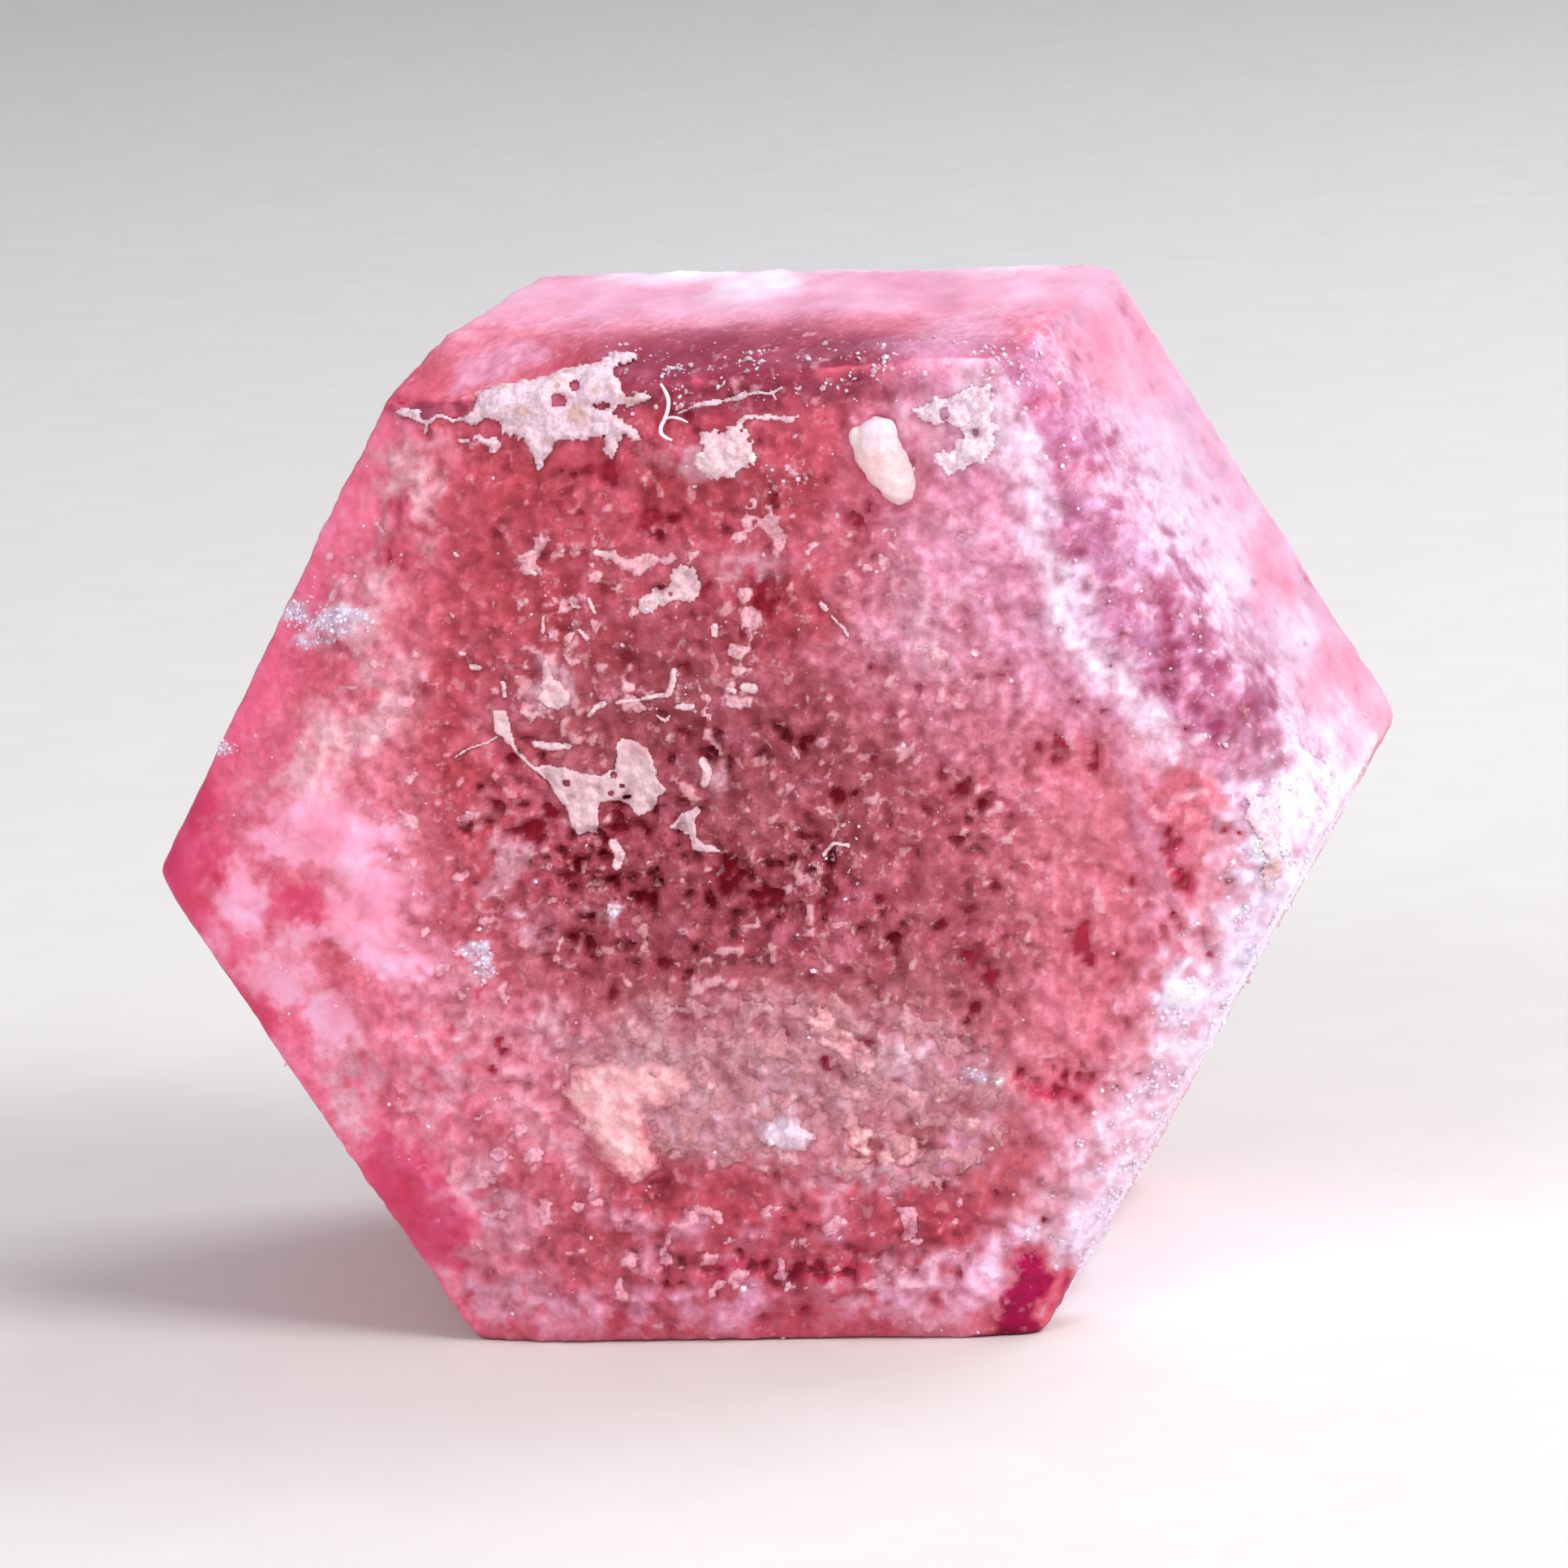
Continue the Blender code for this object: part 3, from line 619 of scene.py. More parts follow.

# Thin pale veils, frosted lines, pale lines along the hollow's rim and painted glints over the end face
crumbly = crumbs + 0.6 * broad
lay_film(MILKY_GREY, 0.75 * on_front(*HAZE) * smooth(crumbs, -1.6, 0.4))
lay_film(FILM_VEIL, near(LEFT_VEIL, 0.19) * front * smooth(crumbs + broad, -3.2, -0.6))
rim_frost = near(RIM_FROST, 0.08) * (depth_y < SHOULDER_REACH) * smooth(crumbly, -0.2, 1.6)
lay_film(FROST_AND_HIGHLIGHT, 0.35 * rim_frost)
# Painted glints: near-white spots where the end face catches the light
lay_film(FROST_AND_HIGHLIGHT, 0.9 * on_front(*GLINT_SPOTS) * smooth(crumbs, -1.4, 0.4))
lay_film(FILM_PALE, 0.6 * near(PALE_ARC, 0.10) * front)
lay_film(MILKY_GREY, 0.45 * near(LOWER_ARC, 0.13) * front)
lay_film(FILM_PALE, 0.7 * near(BOTTOM_VEIL, 0.17) * front * smooth(crumbly, -1.2, 0.8))

# Clear crimson windows, with milky patches inside the largest
corner = depth_inside(drawn[:, 0] + 0.05 * etch, drawn[:, 2] + 0.05 * etch, CORNER_WINDOW)
corner_rim = 0.035 - to_line(drawn[:, 0] + 0.02 * etch, drawn[:, 2], CORNER_RIM)
corner = np.maximum(corner, corner_rim)
in_corner = smooth(corner, -0.015, 0.03) * (depth_y < CORNER_REACH)
window = smooth(on_front(*WINDOWS) + 0.15 * lumps, -0.05, 1.0)
small_window = smooth(0.8 * on_front(*SMALL_WINDOWS) + 0.15 * lumps, -0.05, 1.0)
strip = near(CORNER_STRIP, 0.20) * front
window = np.maximum(window, 0.9 * strip)
lay_film(CRIMSON, 0.2 * on_front(*THIN_WINDOWS))
lay_film(CRIMSON, 0.9 * window)
lay_film(CHERRY, 0.9 * small_window)
window = np.maximum(window, small_window)
milk = smooth(on_front(*MILK) + 0.25 * lumps, -0.05, 1.0) * (1 - strip)
lay_film(MILKY_PINK, 0.85 * milk)

# White frost along the lower right margin and over the face beside it, whiter where the margin catches the
# light: partly real frost, partly a painted highlight
right_side = np.maximum(front, smooth(normals @ np.array(outward(FACE_DIRECTIONS[5])), 0.3, 0.7))
right_side *= smooth(-depth_y, -6.0, -3.0)
frost_near = to_line(warped_x, warped_z, FROST_LINE)
clear_of_corner = 1 - smooth(corner, -0.12, -0.02) * (depth_y < CORNER_REACH)
lay_film(FILM_LAVENDER, 0.6 * smooth(0.85 - frost_near, 0, 0.7) * right_side * clear_of_corner)
frost = smooth(0.50 - frost_near + 0.06 * crumbs + 0.08 * broad, 0, 0.42) * right_side * clear_of_corner
thinner = 1 - 0.6 * spots(drawn[:, 0], drawn[:, 2], THIN_FROST)
lay_film(FROST_AND_HIGHLIGHT, 0.9 * thinner * frost * (0.7 + 0.3 * smooth(crumbs, -1.0, 1.0)))
lay_film(CORNER_CRIMSON, in_corner)
glass = np.maximum(window * (1 - milk), 0.2 * in_corner)
window = np.maximum(window, in_corner)
lay_film(DARK_RED, 0.5 * near(CRACK, 0.02) * front)

# The back face has brown and pale clouds
behind = smooth(normals[:, 1], 0.5, 0.8)
lay_film(FILM_BROWN, 0.5 * behind * smooth(coarse + 0.3 * lumps, -0.1, 0.4))
lay_film(FILM_PALE, 0.5 * behind * smooth(lumps - 0.5 * coarse, 0.1, 0.7))

# Mottling in redder and paler grains, weak where the crystal is soft and smooth to look at
GRAIN_TINT = np.array([0.55, 1.15, 1.05])
DUSK_SHADE = 0.12
away = np.hypot(drawn[:, 0] - 0.2, drawn[:, 2] - 0.2)
soft = np.max([milk, window * (1 - 0.7 * in_corner), 0.8 * near(MARGIN_LINE, 0.5) * front,
               np.maximum(top, upper_right) * smooth(depth_y, 0.8, 3.2), 0.6 * lower,
               0.45 * smooth(away, 1.0, 3.2) * (1 - 0.5 * shoulder)], axis=0)
mottling = 0.10 * broad + 0.13 * knobs * (1 - soft)
mottling *= 1 + 0.7 * smooth(rotten, 0.2, 1.0) * front
paint *= np.exp(np.clip(mottling, -0.5, 0.4)[:, None] * GRAIN_TINT)
dusk = np.max([on_front(*DUSK), 0.6 * top, upper_right * smooth(depth_y, 0.5, 2.5)], axis=0)
paint *= 1 - DUSK_SHADE * dusk[:, None]
paint = np.clip(paint, 0, 0.98)


def keep(mesh, name, values):
    """Keep one number per vertex for the material to read."""
    layer = mesh.attributes.new(name, "FLOAT", "POINT")
    layer.data.foreach_set("value", np.clip(values, 0, 1).astype(np.float32))


def keep_film(mesh, colours):
    """Keep one film colour per vertex for the material to read."""
    layer = mesh.attributes.new("film", "FLOAT_COLOR", "POINT")
    opaque = np.hstack([colours, np.ones((len(colours), 1))])
    layer.data.foreach_set("color", opaque.astype(np.float32).ravel())


keep(mesh, "glass", glass)
keep(mesh, "gloom", 0.25 + 0.75 * on_front(*GLOOM))
keep(mesh, "pits", pits * (1 - window) * (1 - milk) * (1 - 0.8 * frost))
pitted = np.maximum(smooth(rotten, -0.3, 0.8) * front, 0.5 * shoulder) * (1 - soft)
hidden_side = (1 - front) * (1 - top) * (1 - upper_right)
keep(mesh, "pitted", np.maximum(pitted, 0.8 * hidden_side * smooth(broad + 2 * lumps, -0.5, 1.5)))
keep(mesh, "crests", crests * (1 - 0.8 * soft))
# Frost and speckled spots, which the material also lightens into painted glints
speckled = on_front(*SPECKLED)
keep(mesh, "frost", np.maximum(frost, 0.8 * speckled))
keep(mesh, "soft", soft)
keep_film(mesh, paint)

BERYL_IOR = 1.57
beryl, tree, shader, where = new_material("frosted red beryl")


def kept(tree, name, output="Fac"):
    """Read back what the mesh keeps under a name."""
    return put(tree, "ShaderNodeAttribute", attribute_name=name).outputs[output]


# Crumbs of two sizes shade the film, weaker where it is soft
stretched = put(tree, "ShaderNodeVectorMath", {0: where, 1: tuple(STRETCH)}, operation="MULTIPLY").outputs[0]
crumb = grain(tree, stretched, 0.10, 3.0, 0.55)
speck = grain(tree, stretched, 0.05, 2.0, 0.5)
soft_mask = kept(tree, "soft")
uneven = maths(tree, "SUBTRACT", 1.0, times(tree, soft_mask, 0.85))
colour = kept(tree, "film", "Color")
for speckle, shade, light in ((crumb, (0.88, 0.78, 0.80, 1), (1.11, 1.25, 1.23, 1)),
                              (speck, (0.95, 0.90, 0.91, 1), (1.05, 1.11, 1.10, 1))):
    shading = blend(tree, rise(tree, speckle, 0.30, 0.70), shade, light)
    colour = blend(tree, uneven, colour, blend(tree, 1.0, colour, shading, "MULTIPLY"))
edge_noise = plus(tree, times(tree, speck, 0.5), times(tree, crumb, 0.5))
# Pale salt grains and crests
salt = rise(tree, grain(tree, stretched, 0.085, 2.0, 0.6), 0.58, 0.70)
colour = blend(tree, times(tree, salt, times(tree, uneven, 0.34)), colour, tone(240, 190, 200))
crest = rise(tree, plus(tree, kept(tree, "crests"), edge_noise), 0.80, 1.40)
colour = blend(tree, times(tree, crest, 0.60), colour, tone(236, 182, 192))
# Pits show the red depth, darkest in the gloom of the middle
pit = rise(tree, plus(tree, kept(tree, "pits"), times(tree, edge_noise, 1.8)), 1.30, 1.95)
gloom = kept(tree, "gloom")
murk = blend(tree, 1.0, colour, (0.70, 0.06, 0.15, 1), "MULTIPLY")
deep = blend(tree, gloom, tone(196, 54, 84), murk)
pepper = rise(tree, grain(tree, stretched, 0.065, 2.0, 0.6), 0.57, 0.68)
pepper = times(tree, pepper, times(tree, kept(tree, "pitted"), 0.6))
pitting = maths(tree, "MAXIMUM", times(tree, pit, 0.85), pepper)
colour = blend(tree, pitting, colour, deep)
# Painted glints: frost and speckled spots lightened towards near white
painted_glint = plus(tree, times(tree, kept(tree, "frost"), 0.35), edge_noise)
colour = blend(tree, times(tree, rise(tree, painted_glint, 0.80, 1.02), 0.8), colour, tone(246, 222, 240))
# Light goes deep where the film is soft, and through where it is clear; a thin gloss coats all but the pits
depth = plus(tree, 0.20, times(tree, soft_mask, 0.65))
clear = times(tree, kept(tree, "glass"), 0.3)
gloss = plus(tree, 0.20, times(tree, kept(tree, "glass"), 0.25))
gloss = times(tree, gloss, maths(tree, "SUBTRACT", 1.0, pit))
dull = blend(tree, rise(tree, crumb, 0.35, 0.65), (0.55, 0.55, 0.55, 1), (0.34, 0.34, 0.34, 1))
roughness = blend(tree, kept(tree, "glass"), dull, (0.14, 0.14, 0.14, 1))
let_light_in(tree, shader, depth, (1.0, 0.30, 0.38), 0.35)
fill(tree, shader, {"Base Color": colour, "Transmission Weight": clear, "Roughness": roughness,
                    "IOR": BERYL_IOR, "Specular IOR Level": 0.0, "Coat Weight": gloss,
                    "Coat Roughness": 0.28, "Coat IOR": BERYL_IOR})
bumps = plus(tree, times(tree, crumb, 0.9), times(tree, speck, 0.35))
bumps = maths(tree, "SUBTRACT", bumps, times(tree, pit, 0.5))
bumps = times(tree, bumps, uneven)
emboss(tree, shader, bumps, 1.0, 0.023)
mesh.materials.append(beryl)

# What later pieces need of the crystal: where a line of sight meets it, and its skin
crystal_tree = BVHTree.FromPolygons([vertex.co.copy() for vertex in mesh.vertices],
                                    [tuple(face.vertices) for face in mesh.polygons])
skin_corners = [face.vertices[0] for face in mesh.polygons]
seats, seat_normals = read_points(mesh)[0], normals


def settle(piece):
    """Bring a piece modelled in millimetres from the axis and end face to its place in metres."""
    bpy.ops.object.select_all(action="DESELECT")
    piece.select_set(True)
    bpy.context.view_layer.objects.active = piece
    piece.data.transform(Matrix.Translation((0, FRONT_Y, AXIS_HEIGHT)) @ Matrix.Scale(MM, 4))
    bpy.ops.object.shade_smooth()
    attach(piece, "root")


settle(crystal)
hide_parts("crystal")


# White crusts of the host rock, chalky and lacy, grown fast to the upper left edge of the end face
# and to the worn right corner. Each is a thin granular skin a tenth of a millimetre thick, laid over
# the crystal as it bends, with ragged rims, strands that trail off it and a hole through to the red.
GRID_STEP = 0.015
BURIED = 0.012
EVEN_STEPS = 20


def cast(x, z):
    """The line of sight through a place drawn on the end face, and where it meets the crystal."""
    spot = Vector((x, 0, z))
    ray = (spot - camera_point).normalized()
    hit, normal, face, _ = crystal_tree.ray_cast(spot - ray * 2, ray)
    return ray, hit, normal, face


def pebbled(points, size, shift=0.0):
    """Rounded lumps about size across, from 0 in the gaps to 1 on top."""
    start = Vector((shift, -shift, shift))
    return np.array([1 - min(noise.voronoi(Vector(p) / size + start)[0][0] * 1.6, 1) for p in points])


def inside_crust(sheet, outline, ragged, strands, holes, broken, shift):
    """How far inside the crust's ragged rim each point of a flat sheet lies."""
    x, z = sheet[:, 0], sheet[:, 2]
    jagged = ragged * (rough(sheet, 0.09, 3, shift) + 0.5 * rough(sheet, 0.03, 2, shift + 3))
    deep = depth_inside(x, z, outline) + jagged
    for width, line in strands:
        deep = np.maximum(deep, width - to_line(x, z, line) + 0.3 * jagged)
    for centre_x, centre_z, half_width, half_height in holes:
        gap = np.hypot((x - centre_x) / half_width, (z - centre_z) / half_height) - 1
        deep = np.minimum(deep, gap * min(half_width, half_height) + 0.5 * jagged)
    if broken:
        size, level = broken
        deep = np.minimum(deep, 0.5 * size * (rough(sheet, size, 3, shift + 7) - level))
    return deep


def even_out(field, columns):
    """Average a direction per point of a sheet with its neighbours', again and again."""
    field = field.reshape(-1, columns + 1, 3)
    for _ in range(EVEN_STEPS):
        for axis in (0, 1):
            field = (field + np.roll(field, 1, axis) + np.roll(field, -1, axis)) / 3
    return field.reshape(-1, 3)


def grow_crust(name, outline, thickness, ragged=0.03, taper=0.07, lump=0.08, lumpy=0.5, strands=(),
               holes=(), broken=None, proud=0.15, step=GRID_STEP, shift=0.0):
    """A closed crust on the crystal inside an outline drawn on the end face as the camera sees it.

    strands are (half width, line of points); holes are (centre x, centre z, half width, half height).
    broken is (size, level): the crust is broken into islets of that size, fewer at a higher level.
    proud is how far its rim stands above the crystal, as a share of the thickness.
    """
    reach = outline + [point for width, line in strands for point in line]
    low_x, low_z = np.min(reach, axis=0) - 3 * ragged
    high_x, high_z = np.max(reach, axis=0) + 3 * ragged
    columns = int((high_x - low_x) / step)
    bpy.ops.object.select_all(action="DESELECT")
    bpy.ops.mesh.primitive_grid_add(
        x_subdivisions=columns, y_subdivisions=int((high_z - low_z) / step), size=1,
        location=((low_x + high_x) / 2, 0, (low_z + high_z) / 2), rotation=(pi / 2, 0, 0))
    piece = bpy.context.object
    piece.name = name
    piece.scale = (high_x - low_x, high_z - low_z, 1)
    bpy.ops.object.transform_apply(location=True, rotation=True, scale=True)

    # Where the sheet lands on the crystal, seen from the camera, and the film it lands on
    sheet, _ = read_points(piece.data)
    deep = inside_crust(sheet, outline, ragged, strands, holes, broken, shift)
    landed = []
    facing = np.zeros((len(sheet), 3))
    for index in np.flatnonzero(deep >= 0):
        _, hit, normal, face = cast(sheet[index, 0], sheet[index, 2])
        if hit is not None:
            landed.append((index, hit, paint[skin_corners[face]]))
            facing[index] = normal
    # The crust grows out evenly, past the small facets of the crystal below it
    facing = even_out(facing, columns)
    bpy.ops.object.mode_set(mode="EDIT")
    bpy.ops.mesh.select_all(action="DESELECT")
    bpy.ops.object.mode_set(mode="OBJECT")
    spare = np.ones(len(sheet), bool)
    seated = {}
    for index, hit, below in landed:
        vertex = piece.data.vertices[index]
        normal = Vector(facing[index]).normalized()
        vertex.co = hit - normal * BURIED
        spare[index] = False
        seated[tuple(np.round(vertex.co, 5))] = (deep[index], normal, below)
    piece.data.vertices.foreach_set("select", spare)
    bpy.ops.object.mode_set(mode="EDIT")
    bpy.ops.mesh.delete(type="VERT")
    bpy.ops.mesh.select_all(action="SELECT")
    bpy.ops.mesh.delete_loose(use_verts=True, use_edges=True, use_faces=False)
    bpy.ops.mesh.select_all(action="SELECT")
    bpy.ops.mesh.extrude_region_move()
    bpy.ops.object.mode_set(mode="OBJECT")

    # The upper layer swells outwards, thin at the rim and lumpy in the middle
    under, _ = read_points(piece.data)
    inward, side, film = [], [], []
    for vertex in piece.data.vertices:
        depth, normal, below = seated.get(tuple(np.round(vertex.co, 5)), (0.0, forward, paint[0]))
        inward.append(depth if vertex.select else -1)
        side.append((normal + 0.6 * towards_camera).normalized())
        film.append(below)
    inward = np.array(inward)
    lumps = pebbled(under, lump, shift) * 0.6 + pebbled(under, lump * 0.45, shift + 5) * 0.4
    swell = smooth(inward, -0.3 * taper, taper) * (1 - lumpy + lumpy * 1.7 * lumps)
    lifted = np.where(inward < 0, 0, BURIED + proud * thickness + thickness * swell)
    under += np.array(side) * lifted[:, None]
    piece.data.vertices.foreach_set("co", under.ravel())
    piece.data.update()
    keep_film(piece.data, np.array(film))
    keep(piece.data, "thick", swell)
    bpy.ops.object.mode_set(mode="EDIT")
    bpy.ops.mesh.select_all(action="SELECT")
    bpy.ops.mesh.normals_make_consistent(inside=False)
    bpy.ops.object.mode_set(mode="OBJECT")
    return piece


def crust_material(name, light, shade, stain, glow=0.35, gloss=0.6, stain_size=0.16, stain_from=0.55,
                   clear_rim=0.0, bumps=0.020):
    """Chalky mineral crust: two tones in fine grain, stained in patches, letting a little light in.

    With clear_rim the crust takes on the film below it where it is thinner than that share.
    """
    made, tree, shader, where = new_material(name)
    fine = grain(tree, where, 0.035, 4.0, 0.7)
    patch = grain(tree, where, stain_size, 3.0, 0.6)
    colour = blend(tree, rise(tree, fine, 0.34, 0.60), shade, light)
    colour = blend(tree, rise(tree, patch, stain_from, stain_from + 0.14), colour, stain)
    if clear_rim:
        below = kept(tree, "film", "Color")
        colour = blend(tree, rise(tree, kept(tree, "thick"), 0.05, clear_rim), below, colour)
    fill(tree, shader, {"Base Color": colour, "Roughness": gloss, "Specular IOR Level": 0.35})
    let_light_in(tree, shader, glow, (1.0, 0.6, 0.6), 0.04)
    powder = grain(tree, where, 0.018, 3.0, 0.7)
    height = plus(tree, times(tree, fine, 0.7), times(tree, powder, 0.4))
    emboss(tree, shader, height, 0.9, bumps)
    return made


def fix_on(crust, material, node=None):
    """Give a crust its material and its place on the crystal's body, and hide the CAD node it stands for."""
    crust.data.materials.append(material)
    settle(crust)
    if node:
        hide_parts(node)


EDGE_OUTLINE = [(-1.70, 3.26), (-1.63, 3.35), (-1.58, 3.42), (-1.45, 3.44), (-1.32, 3.46), (-1.19, 3.48),
                (-1.10, 3.51), (-0.97, 3.53), (-0.80, 3.56), (-0.67, 3.59), (-0.58, 3.64), (-0.47, 3.67),
                (-0.42, 3.63), (-0.45, 3.59), (-0.58, 3.54), (-0.61, 3.48), (-0.53, 3.35), (-0.40, 3.36),
                (-0.34, 3.33), (-0.38, 3.29), (-0.60, 3.26), (-0.62, 3.22), (-0.55, 3.20), (-0.50, 3.11),
                (-0.42, 3.02), (-0.46, 3.00), (-0.55, 3.04), (-0.61, 2.97), (-0.66, 2.90), (-0.71, 2.95),
                (-0.72, 3.04), (-0.96, 3.02), (-1.06, 3.03), (-1.09, 2.94), (-1.16, 2.90), (-1.22, 2.82),
                (-1.26, 2.95), (-1.28, 3.03), (-1.38, 3.07), (-1.45, 3.08), (-1.47, 3.00), (-1.49, 2.93),
                (-1.54, 2.96), (-1.58, 3.02), (-1.68, 3.05), (-1.77, 3.02), (-1.80, 3.05), (-1.77, 3.08),
                (-1.66, 3.11), (-1.64, 3.15), (-1.70, 3.20)]
EDGE_STRANDS = ((0.020, [(-2.20, 3.28), (-2.08, 3.24), (-1.99, 3.19), (-1.91, 3.25), (-1.80, 3.21),
                         (-1.66, 3.23)]),
                (0.035, [(-2.16, 3.28), (-2.06, 3.27)]), (0.016, [(-1.99, 3.20), (-2.01, 3.12)]),
                (0.014, [(-0.60, 3.30), (-0.48, 3.29), (-0.40, 3.34)]))
EDGE_HOLES = ((-1.53, 3.14, 0.080, 0.060), (-0.70, 3.27, 0.05, 0.020), (-1.02, 3.33, 0.05, 0.04),
              (-0.90, 3.42, 0.03, 0.02))
edge_crust = grow_crust("edge_rock_crust", EDGE_OUTLINE, 0.075, ragged=0.035, taper=0.07, lump=0.15,
                        lumpy=0.38, strands=EDGE_STRANDS, holes=EDGE_HOLES, step=0.0125, shift=1.0)
chalk = crust_material("white chalky crust", tone(242, 218, 230), tone(220, 180, 196),
                       tone(214, 176, 172), stain_from=0.53, clear_rim=0.18)
fix_on(edge_crust, chalk, "edge_crust")

SIDE_OUTLINE = [(3.74, 0.22), (3.78, 0.31), (3.88, 0.33), (3.97, 0.28), (4.01, 0.15), (3.98, 0.02),
                (4.02, -0.12), (3.98, -0.30), (3.90, -0.42), (3.84, -0.36), (3.86, -0.18), (3.84, 0.0),
                (3.78, 0.1)]
side_crust = grow_crust("right_corner_crust", SIDE_OUTLINE, 0.05, ragged=0.05, lump=0.08, shift=4.0)
fix_on(side_crust, chalk, "side_crust")

LEDGE_OUTLINE = [(-0.06, 3.24), (-0.05, 3.27), (0.10, 3.29), (0.24, 3.31), (0.34, 3.35), (0.36, 3.30),
                 (0.22, 3.27), (0.10, 3.24)]
LEDGE_STRANDS = ((0.014, [(0.28, 3.29), (0.40, 3.33), (0.52, 3.32), (0.60, 3.36)]),
                 (0.012, [(0.52, 3.34), (0.55, 3.28)]), (0.012, [(-0.16, 3.20), (-0.04, 3.25)]))
ledge_crust = grow_crust("ledge_rock_crust", LEDGE_OUTLINE, 0.03, ragged=0.014, taper=0.03, lump=0.05,
                         strands=LEDGE_STRANDS, step=0.009, shift=7.0)
fix_on(ledge_crust, chalk, "ledge_crust")


# Thin pale flakes of a peeled mineral film that lie loose on the dull middle of the end face, held by
# one side: a web-like flake with a drop-shaped tail and a raised blade, a small fork and a two-lobed
# fleck. They are smooth, sharp-rimmed and only a few hundredths of a millimetre thick.
WEB_OUTLINE = [(-1.40, 0.66), (-1.34, 0.69), (-1.15, 0.67), (-1.04, 0.63), (-0.89, 0.60), (-0.79, 0.65),
               (-0.77, 0.84), (-0.73, 0.87), (-0.66, 0.86), (-0.59, 0.84), (-0.54, 0.79), (-0.51, 0.74),
               (-0.49, 0.64), (-0.47, 0.56), (-0.41, 0.48), (-0.48, 0.43), (-0.48, 0.39), (-0.53, 0.35),
               (-0.61, 0.29), (-0.67, 0.31), (-0.70, 0.38), (-0.77, 0.41), (-0.86, 0.40), (-0.91, 0.40),
               (-0.93, 0.29), (-0.94, 0.17), (-1.02, 0.19), (-1.09, 0.17), (-1.15, 0.26), (-1.17, 0.38),
               (-1.22, 0.47), (-1.30, 0.58)]
WEB_STRANDS = ((0.070, [(-1.62, 1.06), (-1.60, 0.97)]), (0.040, [(-1.60, 0.98), (-1.55, 0.88)]),
               (0.020, [(-1.56, 0.90), (-1.50, 0.79), (-1.40, 0.68), (-1.30, 0.60)]),
               (0.010, [(-1.30, 0.62), (-1.25, 0.50), (-1.19, 0.40)]))
WEB_HOLES = ((-1.15, 0.55, 0.022, 0.020), (-0.80, 0.60, 0.022, 0.022), (-0.745, 0.52, 0.016, 0.012),
             (-0.72, 0.44, 0.03, 0.012), (-0.83, 0.47, 0.014, 0.014))
web_flake = grow_crust("web_film_flake", WEB_OUTLINE, 0.032, ragged=0.012, taper=0.015, lump=0.25, lumpy=0.35,
                       strands=WEB_STRANDS, holes=WEB_HOLES, step=0.010, shift=2.0)
peeled_film = crust_material("pale peeled film", tone(238, 206, 212), tone(224, 180, 190),
                             tone(216, 162, 172), glow=0.3, gloss=0.5, stain_size=0.3, stain_from=0.60)
fix_on(web_flake, peeled_film, "web_flake")

FORK_OUTLINE = [(-0.43, 0.22), (-0.32, 0.31), (-0.26, 0.33), (-0.20, 0.36), (-0.19, 0.32), (-0.22, 0.25),
                (-0.22, 0.15), (-0.18, 0.08), (-0.10, 0.07), (-0.02, 0.01), (-0.14, 0.01), (-0.26, 0.03),
                (-0.28, 0.13), (-0.33, 0.18), (-0.41, 0.19)]
forked_flake = grow_crust("forked_film_flake", FORK_OUTLINE, 0.028, ragged=0.016, taper=0.015, lump=0.1,
                          lumpy=0.5, step=0.009, shift=6.0)
fix_on(forked_flake, peeled_film, "forked_flake")

FLECK_OUTLINE = [(-0.57, 1.84), (-0.52, 1.89), (-0.46, 1.90), (-0.41, 1.95), (-0.36, 1.92), (-0.32, 1.96),
                 (-0.30, 2.04), (-0.29, 2.09), (-0.19, 2.12), (-0.11, 2.07), (-0.07, 1.96), (-0.09, 1.86),
                 (-0.16, 1.82), (-0.25, 1.85), (-0.35, 1.81), (-0.44, 1.77), (-0.53, 1.78)]
FLECK_HOLES = ((-0.37, 1.97, 0.03, 0.012), (-0.30, 1.90, 0.012, 0.014))
upper_flake = grow_crust("two_lobed_fleck", FLECK_OUTLINE, 0.04, ragged=0.025, taper=0.04, lump=0.07,
                         holes=FLECK_HOLES, step=0.010, shift=8.0)
fix_on(upper_flake, peeled_film, "upper_flake")

